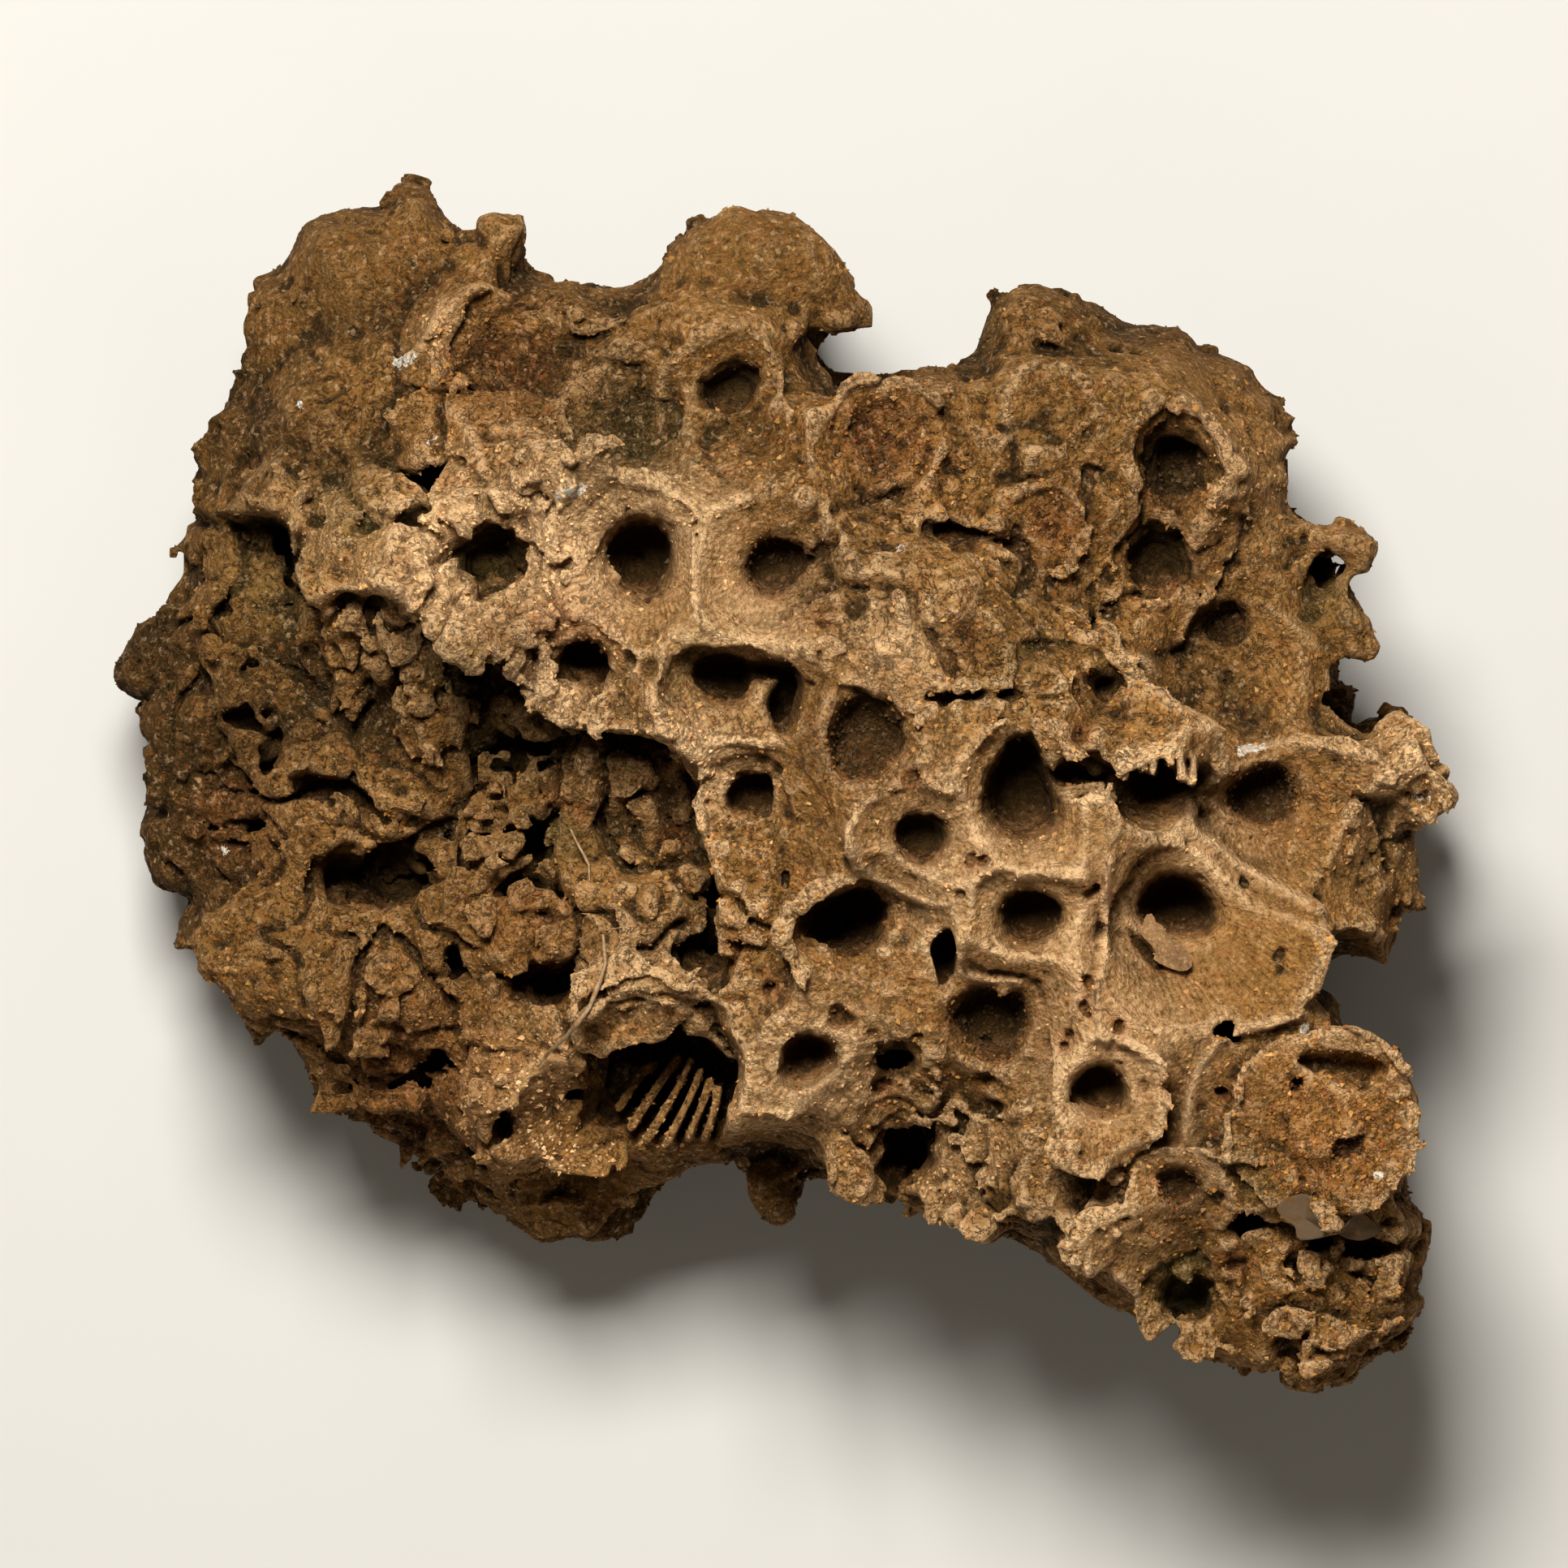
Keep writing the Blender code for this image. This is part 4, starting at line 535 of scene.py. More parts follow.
# Where the stone is paler, redder, more crystalline and so on: place, radius in mm and strength
PALE_SPOTS = (
    ((700, 680), 7.0, 1.0), ((560, 690), 5.5, 1.0), ((830, 660), 4.5, 0.9), ((920, 760), 5.0, 0.7),
    ((690, 850), 4.0, 0.8), ((860, 930), 4.0, 0.8), ((1200, 1050), 7.0, 0.6), ((1350, 1130), 6.0, 0.6),
    ((1000, 1320), 5.0, 0.8), ((1360, 1290), 6.0, 0.7), ((640, 1330), 4.0, 0.8), ((1170, 1440), 4.0, 0.6),
    ((1480, 1020), 5.0, 0.6), ((780, 1200), 4.0, 0.6), ((370, 640), 4.0, 0.6), ((1730, 940), 4.0, 0.6),
    ((540, 410), 2.0, 0.8), ((1100, 800), 4.0, 0.6), ((650, 1352), 4.6, 1.0), ((692, 1412), 4.4, 1.0),
    ((742, 1448), 2.4, 0.8), ((1350, 1500), 5.0, 0.35), ((1720, 1000), 4.0, 0.5), ((745, 480), 2.4, 0.5),
    ((1560, 620), 5.0, 0.35), ((1450, 1440), 3.2, 0.4), ((640, 1480), 5.0, 0.6), ((450, 1330), 5.0, 0.25),
    ((800, 1400), 4.0, 0.35),
)
RED_SPOTS = (
    ((690, 765), 1.8, 0.9), ((735, 785), 1.5, 0.7), ((550, 595), 0.6, 1.0), ((1060, 915), 3.0, 0.5),
    ((1090, 545), 3.4, 0.6), ((1220, 1265), 3.0, 0.45), ((1290, 655), 2.4, 0.5), ((1560, 1000), 2.4, 0.4),
    ((620, 450), 4.0, 0.4), ((1620, 1390), 5.0, 0.35), ((290, 1010), 3.0, 0.5), ((520, 1330), 6.0, 0.45),
    ((1070, 560), 2.0, 0.7), ((1450, 1470), 2.2, 0.4), ((1190, 790), 2.0, 0.4), ((640, 1130), 3.0, 0.4),
)
CRYSTAL_SPOTS = (
    ((1062, 915), 2.9, 1.0), ((1098, 540), 3.6, 1.0), ((1218, 1265), 3.2, 0.9), ((1620, 1385), 6.5, 0.8),
    ((1565, 985), 3.4, 0.8), ((1288, 655), 2.6, 0.8), ((955, 700), 2.4, 0.7), ((1650, 1600), 6.0, 0.6),
    ((1450, 1470), 2.8, 0.8), ((620, 450), 5.0, 0.5), ((905, 578), 2.6, 0.7), ((1455, 600), 2.4, 0.7),
    ((1090, 1220), 3.0, 0.6), ((1350, 1400), 3.5, 0.5), ((1520, 830), 4.0, 0.5), ((780, 500), 4.0, 0.5),
)
WHITE_SPOTS = (
    ((493, 450), 0.42, 1.0), ((503, 445), 0.50, 1.0), ((512, 441), 0.36, 0.9), ((1678, 1688), 0.8, 0.9),
    ((695, 615), 0.40, 1.0), ((707, 610), 0.55, 1.0), ((719, 607), 0.40, 1.0), ((1522, 926), 0.34, 0.9),
    ((1532, 925), 0.42, 1.0), ((1543, 922), 0.36, 0.9), ((1554, 920), 0.30, 0.8), ((1530, 936), 0.25, 0.7),
    ((371, 500), 0.3, 1.0), ((275, 1050), 0.35, 1.0), ((1690, 1442), 0.4, 1.0), ((532, 545), 0.5, 0.5),
    ((1107, 680), 0.5, 0.7), ((1745, 985), 0.9, 0.5), ((1600, 1262), 0.6, 0.6),
)
GREEN_SPOTS = (
    ((1450, 1578), 2.2, 0.8), ((1540, 1440), 2.0, 0.5), ((600, 690), 2.0, 0.5), ((690, 1030), 2.0, 0.5),
    ((620, 915), 1.8, 0.5), ((860, 800), 2.4, 0.35), ((440, 640), 3.0, 0.35), ((1635, 740), 2.4, 0.4),
    ((560, 830), 1.6, 0.5), ((1240, 800), 3.0, 0.25), ((780, 560), 5.0, 0.2), ((330, 720), 3.0, 0.35),
)
SHADE_SPOTS = (
    ((250, 960), 8.0, 0.6), ((420, 1180), 7.0, 0.3), ((730, 480), 7.0, 0.55), ((590, 1080), 5.0, 0.45),
    ((1330, 500), 8.0, 0.50), ((930, 330), 6.0, 0.40), ((520, 830), 6.0, 0.55), ((800, 1160), 5.0, 0.30),
    ((1230, 790), 5.0, 0.25), ((330, 540), 7.0, 0.65), ((1300, 1480), 5.0, 0.25),
    ((420, 330), 7.0, 0.4), ((1280, 400), 5.0, 0.2), ((1080, 930), 3.0, 0.6),
    ((1060, 700), 5.0, 0.6), ((1160, 440), 6.0, 0.5), ((630, 840), 6.0, 0.7), ((330, 900), 7.0, 0.6),
    ((700, 960), 6.0, 0.6), ((1000, 620), 4.0, 0.3), ((480, 1340), 7.0, 0.5), ((420, 370), 6.0, 0.4),
    ((600, 1460), 6.0, 0.2), ((190, 820), 5.0, 0.6), ((1650, 1560), 5.0, 0.2), ((980, 1480), 4.0, 0.4),
)

# The stone's masks that its colour reads, and how much each kind of colour counts and shows at the most
STONE_MASKS = (
    "cavity", "hollow", "depth", "level", "pit", "rough", "pale", "red", "green", "white", "shade", "ridge",
)
PALE_SHARE, PALE_MOST = 0.85, 0.9
# The shares and the cap of the painted shade
SHADE_SHARE, DEPTH_SHARE, PIT_SHARE, PAINTED_SHADE_MOST = 0.7, 0.35, 0.9, 0.94
# The sparkle share paints glints
CRACK_SHARE, RUSTY_SHARE, PAINTED_GLINT_SHARE = 0.75, 0.22, 0.22
LINE_WAVER = 2.0

# The relief in mm of the speckle, granules, fine noise, veins, cracks and lines of a cup
RELIEF = (0.55, -0.18, 0.20, 0.60, -0.20, 0.045)

# The stone's painted shade as its grains take it: a mask, its share, where it starts and how far it runs
GLOOM = (
    ("cavity", 0.8, 0.52, 0.14), ("hollow", 0.8, 0.50, 0.28), ("shade", 0.7, 0.0, 1.0),
    ("depth", 0.35, 0.0, 1.0), ("level", 0.55, 38.0, -22.0),
)
GLOOM_SHARE, GLOOM_MOST = 0.95, 0.93
GRAIN_GLOOM, GRAIN_GLOOM_MOST = 1.1, 0.9
GRANULE_PALE_SHARE, GRANULE_PALE_MOST = 0.75, 0.85

# Ramps: from what value to what value of a mask or a texture, and the shares there unless they are 0 and 1
RAMPS = {
    # Pale spots take less of the painted shade and fewer dark dots, by the second ramp here
    "open air": (0.0, 1.0, 1.0, 0.0), "calm on pale": (0.2, 1.0, 1.0, 0.25),
    "ochre": (0.38, 0.62), "tan": (0.35, 0.65, 0.0, 0.55),
    "rust drift": (0.54, 0.68, 0.0, 0.45), "olive drift": (0.46, 0.32, 0.0, 0.45),
    # The height ramps paint light: the stone goes paler high up
    "edges": (0.47, 0.34, 0.0, 0.85), "pale height": (20.0, 38.0, 0.30, 1.0),
    "pale speckle": (0.38, 0.58, 0.35, 1.0), "bright height": (24.0, 38.0),
    # These ramps set the painted shade: in nooks, in hollows, low down, and in patches
    "painted shade in nooks": (0.52, 0.66, 0.0, 0.8), "painted shade in hollows": (0.48, 0.72, 0.0, 0.9),
    "painted shade height": (38.0, 16.0, 0.0, 0.55), "painted shade patches": (0.32, 0.60, 0.5, 1.1),
    "red speckle": (0.40, 0.56), "dark lines": (0.0, -1.0, 0.0, 0.40),
    "fine dots": (0.46, 0.34, 0.0, 0.5), "dots": (0.45, 0.33, 0.0, 0.8),
    "crack": (0.0, 0.022, 1.0, 0.0), "crack rough": (0.2, 0.6),
    "light": (0.54, 0.68, 0.0, 0.30), "rusty": (0.88, 0.95),
    "white speckle": (0.35, 0.65, -0.4, 0.35), "white": (0.42, 0.55, 0.0, 0.9),
    "sparkle": (0.95, 0.98), "sparkle gloss": (0.0, 1.0, 0.95, 0.45),
    "ribs from": (0.45, 0.6), "ribs to": (1.35, 1.15), "rings from": (1.04, 1.12), "rings to": (1.6, 1.35),
    "lines shown": (0.44, 0.60, 0.25, 1.0),
    "grain brown": (0.0, 0.45), "grain ochre": (0.45, 0.80), "grain tan": (0.90, 0.98),
    "grain rust": (0.30, 0.20, 0.0, 0.7), "grain speckle": (0.55, 0.35, 0.0, 0.5),
    "grain gloss": (0.5, 1.0, 0.8, 0.5),
    "granule ochre": (0.05, 0.35), "granule tan": (0.55, 0.95, 0.0, 0.8),
    "granule pale": (0.88, 1.0, 0.0, 0.3), "granule rust": (0.10, 0.02, 0.0, 0.6),
    "granule gloom": (0.0, 1.0, 1.45, 1.25), "granule speckle": (0.46, 0.34, 0.0, 0.5),
    "chip pale": (0.35, 0.65), "chip light": (0.52, 0.66, 0.0, 0.2), "chip dots": (0.42, 0.34, 0.0, 0.7),
    "film brown": (0.45, 0.65, 0.0, 0.5), "film alpha": (0.35, 0.65, 0.75, 0.40), "bark pale": (0.38, 0.62),
}

# Noise textures: features to the mm, detail, roughness and distortion. Then cells, this many to the mm
NOISES = {
    "broad": (0.10, 3.0, 0.5, 0.0), "patches": (0.45, 6.0, 0.62, 0.0), "veins": (0.9, 7.0, 0.66, 0.3),
    "speckle": (2.0, 5.0, 0.72, 0.0), "fine": (5.5, 3.0, 0.7, 0.0), "drift": (0.8, 4.0, 0.7, 0.0),
    "grain": (3.0, 2.0, 0.5, 0.0), "granule": (4.0, 3.0, 0.5, 0.0), "chip cloud": (0.6, 5.0, 0.65, 0.0),
    "chip speckle": (4.0, 4.0, 0.7, 0.0), "film cloud": (1.2, 4.0, 0.6, 0.0),
    "bark streak": (3.0, 4.0, 0.6, 0.0), "paper": (0.05, 4.0, 0.5, 0.0),
}
CELLS = 3.2


def to_plan(place):
    """A place in the photograph, across and down in pixels, as X and Y in mm."""
    return (place[0] - MIDDLE_PX[0]) * MM_PER_PX, (MIDDLE_PX[1] - place[1]) * MM_PER_PX


def smooth_minimum(a, b, width):
    blend = np.clip(0.5 + 0.5 * (b - a) / width, 0.0, 1.0)
    return b + (a - b) * blend - width * blend * (1.0 - blend)


def smooth_maximum(a, b, width):
    return -smooth_minimum(-a, -b, width)


class Block:
    """Samples on a regular grid, each holding its distance to the stone's surface.

    Ridges and blades say how much of a thin wall or plate stands over each place of the plan.
    """

    def __init__(self, step):
        self.step = step
        self.axes = [np.arange(low, high + step, step) for low, high in zip(BLOCK_LOW, BLOCK_HIGH)]
        self.distance = np.full([len(axis) for axis in self.axes], FAR, np.float32)
        self.ridges, self.blades = np.zeros((2, *self.distance.shape[:2]))

    def near(self, centre, reach):
        """The slices of the block within reach of a point, and the samples' offsets from it."""
        spans = [
            slice(*np.searchsorted(axis, (middle - reach, middle + reach)))
            for axis, middle in zip(self.axes, centre)
        ]
        offsets = [axis[span] - middle for axis, span, middle in zip(self.axes, spans, centre)]
        x, y, z = np.meshgrid(*offsets, indexing="ij", sparse=True)
        return tuple(spans), x, y, z


def curve(places, per_side=4, closed=True):
    """Points on a smooth curve through the places, in mm."""
    corners = np.array([to_plan(place) for place in places])
    if not closed:
        corners = np.concatenate([corners[:1], corners, corners[-1:]])
    before, after, beyond = (np.roll(corners, -shift, axis=0) for shift in (-1, 1, 2))
    points = []
    for t in np.arange(per_side) / per_side:
        points.append(
            0.5 * (2 * corners + (after - before) * t
                   + (2 * before - 5 * corners + 4 * after - beyond) * t**2
                   + (3 * corners - before - 3 * after + beyond) * t**3)
        )
    points = np.stack(points, axis=1).reshape(-1, 2)
    return points if closed else points[per_side:-2 * per_side + 1]


def distance_to_runs(x, y, starts, ends):
    """Distance in plan to the nearest of some straight runs."""
    nearest = np.full(np.broadcast(x, y).shape, np.inf)
    for start, end in zip(starts, ends):
        run = end - start
        along = np.clip(((x - start[0]) * run[0] + (y - start[1]) * run[1]) / (run @ run), 0.0, 1.0)
        gap = (x - start[0] - along * run[0]) ** 2 + (y - start[1] - along * run[1]) ** 2
        nearest = np.minimum(nearest, gap)
    return np.sqrt(nearest)


def distance_to_outline(x, y, points):
    """Distance in plan to a closed curve, below zero inside it."""
    ends = np.roll(points, -1, axis=0)
    inside = np.zeros(np.broadcast(x, y).shape, bool)
    for start, end in zip(points, ends):
        if start[1] != end[1]:
            crosses = (start[1] > y) != (end[1] > y)
            edge = start[0] + (y - start[1]) * (end - start)[0] / (end - start)[1]
            inside = inside ^ (crosses & (x < edge))
    return np.where(inside, -1.0, 1.0) * distance_to_runs(x, y, points, ends)


EDGE = curve(OUTLINE)
TIER_EDGE = curve(LOWER_TIER)


def spots_height(x, y, spots):
    """Height at a place in plan, from the spot heights around it."""
    total, weights = 0.0, 0.0
    for across, down, height in spots:
        spot_x, spot_y = to_plan((across, down))
        weight = ((x - spot_x) ** 2 + (y - spot_y) ** 2 + CROWN_SOFTNESS**2) ** -CROWN_FADE
        total, weights = total + weight * height, weights + weight
    return total / weights


def crown_height(x, y):
    """Height of the block's top at a place in plan: two tiers, with a steep step between."""
    lower = np.clip(0.5 - distance_to_outline(x, y, TIER_EDGE) / TIER_STEP, 0.0, 1.0)
    lower = lower * lower * (3.0 - 2.0 * lower)
    return spots_height(x, y, UPPER_CROWN) * (1.0 - lower) + spots_height(x, y, LOWER_CROWN) * lower


def crown_slope(x, y):
    """How fast the crown rises along X and along Y, measured over a few millimetres."""
    rise_x = crown_height(x + SLOPE_REACH, y) - crown_height(x - SLOPE_REACH, y)
    rise_y = crown_height(x, y + SLOPE_REACH) - crown_height(x, y - SLOPE_REACH)
    return rise_x / (2 * SLOPE_REACH), rise_y / (2 * SLOPE_REACH)


def fill_block(block):
    """The stone before any cup or hole: the outline in plan, domed on top and drawn in to its foot.

    Returns the distance in plan to the outline.
    """
    x, y, z = np.meshgrid(*block.axes, indexing="ij", sparse=True)
    outline = distance_to_outline(x[..., 0], y[..., 0], EDGE)[..., None]
    crown = crown_height(x, y)
    slope_x, slope_y = np.gradient(crown[..., 0], block.step)
    steepness = np.sqrt(1.0 + slope_x**2 + slope_y**2)[..., None]
    waist = WAIST_SHARE * crown
    below = np.clip((waist - z) / waist, 0.0, BELOW_MOST)
    above = np.clip((z - waist) / (crown - waist), 0.0, ABOVE_MOST)
    side = outline + FOOT_INSET * below**FOOT_CURVE + SHOULDER_INSET * above**2
    fluted = np.clip(below * FLUTE_FOOT, FLUTE_LEAST, 1.0)
    side = side + FLUTE_DEPTH * noise(block, FLUTE, FLUTE_SEED) * fluted
    side = side + BAND_DEPTH * noise(block, GROWTH_BAND, BAND_SEED)
    block.distance[:] = smooth_maximum(side, (z - crown) / steepness, EDGE_ROUND)
    return outline


def turned(x, y, turn):
    """Offsets in plan along a pair of axes that are turned about Z by degrees."""
    cosine, sine = math.cos(math.radians(turn)), math.sin(math.radians(turn))
    return x * cosine + y * sine, y * cosine - x * sine


def ellipsoid(x, y, z, size, turn):
    """Distance to an ellipsoid round the origin, turned about Z by degrees."""
    across, along = turned(x, y, turn)
    level = np.sqrt((across / size[0]) ** 2 + (along / size[1]) ** 2 + (z / size[2]) ** 2)
    slope = np.sqrt((across / size[0] ** 2) ** 2 + (along / size[1] ** 2) ** 2 + (z / size[2] ** 2) ** 2)
    return level * (level - 1.0) / np.maximum(slope, LEAST_SLOPE)


def add_lumps(block, ragged):
    for lump in LUMPS.values():
        spans, x, y, z = block.near((*to_plan(lump.at), lump.height), max(lump.size) + NEAR)
        shape = ellipsoid(x, y, z, lump.size, lump.turn) + LUMP_SHARE * ragged[spans]
        block.distance[spans] = smooth_minimum(block.distance[spans], shape, LUMP_BLEND)


def cut_hollows(block, ragged):
    for hollow in HOLLOWS.values():
        spans, x, y, z = block.near((*to_plan(hollow.at), hollow.height), max(hollow.size) + NEAR)
        share = HOLLOW_SHARE * min(1.0, min(hollow.size[:2]) / NARROW)
        shape = ellipsoid(x, y, z, hollow.size, hollow.turn) + share * ragged[spans]
        block.distance[spans] = smooth_maximum(block.distance[spans], -shape, HOLLOW_ROUND)


def add_blades(block, ragged):
    """Thin upright plates that are left standing where the stone broke."""
    for places, foot, top in BLADES:
        line = curve(places, closed=False)
        middle = (*line.mean(axis=0), 0.5 * (foot + top))
        spans, x, y, z = block.near(middle, np.ptp(line, axis=0).max() + 0.5 * (top - foot) + BLADE_REACH)
        plan = distance_to_runs(x[..., 0] + middle[0], y[..., 0] + middle[1], line[:-1], line[1:])
        seen = np.exp(-(plan / (BLADE_HALO * BLADE_HALF)) ** 2)
        block.blades[spans[:2]] = np.maximum(block.blades[spans[:2]], seen)
        shape = np.maximum(plan[..., None] - BLADE_HALF, np.abs(z) - 0.5 * (top - foot))
        shape = shape + BLADE_SHARE * ragged[spans]
        block.distance[spans] = smooth_minimum(block.distance[spans], shape, BLADE_BLEND)


def axes_along(axis):
    """Three unit vectors square to each other, the last one along the axis."""
    axis = np.array(axis) / np.linalg.norm(axis)
    side = np.cross((0.0, 1.0, 0.0), axis)
    side /= np.linalg.norm(side)
    return side, np.cross(axis, side), axis


def crown_cup(cup):
    """The middle of a cup's rim on the crown, and its axes."""
    x, y = to_plan(cup.at)
    slope_x, slope_y = crown_slope(x, y)
    centre = (x, y, float(crown_height(x, y)) + cup.proud - CUP_SINK)
    return centre, axes_along((-AXIS_TILT * slope_x, -AXIS_TILT * slope_y, 1.0))


def flank_cup(number):
    """A cup that opens sideways out of the flank, with the middle of its rim and its axes."""
    start = int(number * len(EDGE) / FLANK_CUPS)
    run = EDGE[(start + FLANK_SPAN) % len(EDGE)] - EDGE[start - FLANK_SPAN]
    outward = np.array((-run[1], run[0])) / np.linalg.norm(run)
    waist = WAIST_SHARE * crown_height(*EDGE[start])
    share = FLANK_LOW + FLANK_RISE * (number * GOLDEN % 1.0)
    inset = FOOT_INSET * max(1.0 - share, 0.0) ** FOOT_CURVE + FLANK_SET
    place = EDGE[start] - outward * inset
    mouth = FLANK_MOUTH + FLANK_SPREAD * (number * GOLDEN * 3 % 1.0)
    cup = calice(None, mouth, FLANK_PIT * mouth, FLANK_DEPTH * mouth, fall=FLANK_FALL * mouth)
    return cup, (*place, share * waist), axes_along((*outward, FLANK_LIFT))


def all_cups():
    """Every cup with the middle of its rim and its axes."""
    crown = [(cup, *crown_cup(cup)) for cup in CALICES.values()]
    return crown + [flank_cup(number) for number in range(FLANK_CUPS)]


def slide_to_pit(cup, right, back, over):
    """Places across a cup once its axis has slid over to a pit that lies off the middle of the mouth."""
    if cup.pit_at != cup.at:
        slide = np.subtract(to_plan(cup.pit_at), to_plan(cup.at))
        share = np.clip(-over / cup.fall, 0.0, 1.0)
        right, back = right - slide[0] * share, back - slide[1] * share
    return right, back


def cup_coordinates(block, cup, centre, axes, reach, to_pit=True):
    """Height over the rim, distance from the axis and angle about it, for the samples near a cup."""
    spans, x, y, z = block.near(centre, reach)
    right, back, over = (x * v[0] + y * v[1] + z * v[2] for v in axes)
    if to_pit:
        right, back = slide_to_pit(cup, right, back, over)
    back = back / cup.tall
    return spans, over, np.sqrt(right**2 + back**2), np.arctan2(back, right)


def raise_walls(block, cups):
    """The tube of each cup that stands proud of the block, ringed by its growth."""
    for number, (cup, centre, axes) in enumerate(cups):
        if cup.proud <= FLUSH:
            continue
        reach = WALL_REACH[0] * cup.mouth + WALL_REACH[1]
        spans, over, radius, angle = cup_coordinates(block, cup, centre, axes, reach, to_pit=False)
        waver = RING_WAVER * np.sin(2 * angle + number)
        rings = RING_HEIGHT * np.sin(2 * math.pi * over / GROWTH_RING + waver)
        tube = np.maximum(over, radius - cup.mouth - WALL - WALL_TAPER * over - rings)
        block.distance[spans] = smooth_minimum(block.distance[spans], tube, WALL_BLEND)


def cup_profile(cup):
    """Radius and height along a cup's section, from the middle of its pit to the open air beyond its rim."""
    drop = cup.depth - cup.fall
    middle = MIDDLE_MOUTH * cup.mouth + MIDDLE_PIT * cup.pit
    return (
        (0.0, -cup.depth),
        *((width * cup.pit, -cup.fall - share * drop) for width, share in PIT_SECTION),
        (LIP_WIDTH * cup.pit, -LIP_FALL * cup.fall),
        (middle, -RIM_RISE - MIDDLE_FALL * (cup.fall - RIM_RISE)),
        ((1.0 - RIM_WIDTH) * cup.mouth, -RIM_RISE),
        (cup.mouth, 0.0),
        (cup.mouth + OPEN_RUN, OPEN_RISE),
    )


def above_profile(radius, over, profile):
    """Distance to a turned section, above zero on its open side."""
    nearest = np.full(radius.shape, np.inf)
    for start, end in zip(profile, profile[1:]):
        run, rise = end[0] - start[0], end[1] - start[1]
        along = ((radius - start[0]) * run + (over - start[1]) * rise) / (run**2 + rise**2)
        along = np.clip(along, 0.0, 1.0)
        gap = (radius - start[0] - along * run) ** 2 + (over - start[1] - along * rise) ** 2
        nearest = np.minimum(nearest, gap)
    level = np.interp(radius, [p[0] for p in profile], [p[1] for p in profile])
    return np.where(over > level, 1.0, -1.0) * np.sqrt(nearest)


def cup_ribs(cup, radius, angle):
    """How far the ribs of a cup's platform stand up, in mm."""
    ribs = round(2 * math.pi * cup.mouth / RIB_SPACING)
    shown = np.clip(radius / cup.pit - RIB_FROM, 0.0, 1.0)
    shown = shown * np.clip((cup.mouth + RIB_FADE - radius) / RIB_FADE, 0.0, 1.0)
    return RIB_HEIGHT * shown * np.cos(ribs * angle + np.sin(3 * angle))


def cup_teeth(cup, radius, angle, number):
    """How far the teeth round a cup's pit narrow it, in mm."""
    teeth = round(2 * math.pi * cup.pit / TOOTH_SPACING)
    shown = np.clip(TOOTH_GROWS[0] * radius / cup.pit - TOOTH_GROWS[1], 0.0, 1.0)
    shown = shown * np.clip(TOOTH_FADES[0] - TOOTH_FADES[1] * radius / cup.pit, 0.0, 1.0)
    return TOOTH * shown * np.cos(teeth * angle + TOOTH_WAVER * np.sin(2 * angle + number))


def cut_cups(block, cups, ragged):
    """Hollow out every cup, with fine ribs down its platform and teeth round its pit."""
    for number, (cup, centre, axes) in enumerate(cups):
        reach = cup.mouth + cup.depth + NEAR
        spans, over, radius, angle = cup_coordinates(block, cup, centre, axes, reach)
        uneven = sum(height * np.sin(waves * angle + shift * number) for waves, shift, height in UNEVEN)
        corners = CORNER_HEIGHT * np.clip(radius / cup.mouth, 0, 1) ** 2 * np.sin(CORNERS * angle + number)
        wide = radius * (1.0 + (uneven + corners)) + cup_teeth(cup, radius, angle, number)
        air = above_profile(wide, over - cup_ribs(cup, radius, angle), cup_profile(cup))
        air = air + CUP_SHARE * ragged[spans]
        air = np.minimum(air, reach - CUP_LIMIT - np.sqrt(radius**2 + over**2))
        block.distance[spans] = np.maximum(block.distance[spans], air)


def spline_weights(places, count):
    """Weights of a cubic spline's control values, numbered from zero, at the given places."""
    apart = np.abs(places[:, None] - np.arange(count)[None, :])
    close = (4.0 - 6.0 * apart**2 + 3.0 * apart**3) / 6.0
    distant = np.clip(2.0 - apart, 0.0, None) ** 3 / 6.0
    return np.where(apart < 1.0, close, distant).astype(np.float32)


def noise(block, lump, seed):
    """Smooth random values of about -1 to 1 over the block, the same at any step, with lumps this wide."""
    lumps = np.broadcast_to(lump, 3)
    spans = zip(BLOCK_LOW, BLOCK_HIGH, lumps)
    counts = [math.ceil((high - low) / size) + SPARE_KNOTS for low, high, size in spans]
    values = np.random.default_rng(seed).uniform(-1.0, 1.0, counts).astype(np.float32)
    for k, axis in enumerate(block.axes):
        weights = spline_weights((axis - BLOCK_LOW[k]) / lumps[k] + FIRST_KNOT, counts[k])
        values = np.moveaxis(np.tensordot(weights, values, (1, k)), 0, k)
    return values


def broken_share(block, share=1.0):
    """How broken the stone is at each place of the plan: one where it is neither smooth nor crumbly."""
    x, y = np.meshgrid(*block.axes[:2], indexing="ij")
    rough = np.ones(x.shape)
    for place, radius, more in CRUMBLY:
        spot_x, spot_y = to_plan(place)
        rough += share * more * np.exp(-((x - spot_x) ** 2 + (y - spot_y) ** 2) / radius**2)
    return np.maximum(rough, 0.0)


def weather(block, octaves, seed, share=1.0):
    """Lumps and dents over all the stone, larger where it is more broken."""
    rough = broken_share(block, share)[..., None]
    for octave, (lump, height) in enumerate(octaves):
        block.distance += height * rough * noise(block, lump, seed + octave)


def open_fissures(block):
    """Narrow crevices that wander where smooth noise passes zero, none of them where the stone is smooth."""
    rough = np.clip(broken_share(block, FINE_SHARE) - FISSURE_CALM, 0.0, FISSURE_MOST)[..., None]
    for octave, (lump, deep, width) in enumerate(FISSURES):
        block.distance += deep * rough * np.exp(-(noise(block, lump, FISSURE_SEED + octave) / width) ** 2)


def random_sizes(random, count, sizes, power):
    """Sizes from the first to the second, of which more are small the larger the power is."""
    return sizes[0] + (sizes[1] - sizes[0]) * random.random(count) ** power


def turned_any_way(random, *count):
    spin, _ = np.linalg.qr(random.normal(size=(*count, 3, 3)))
    return spin


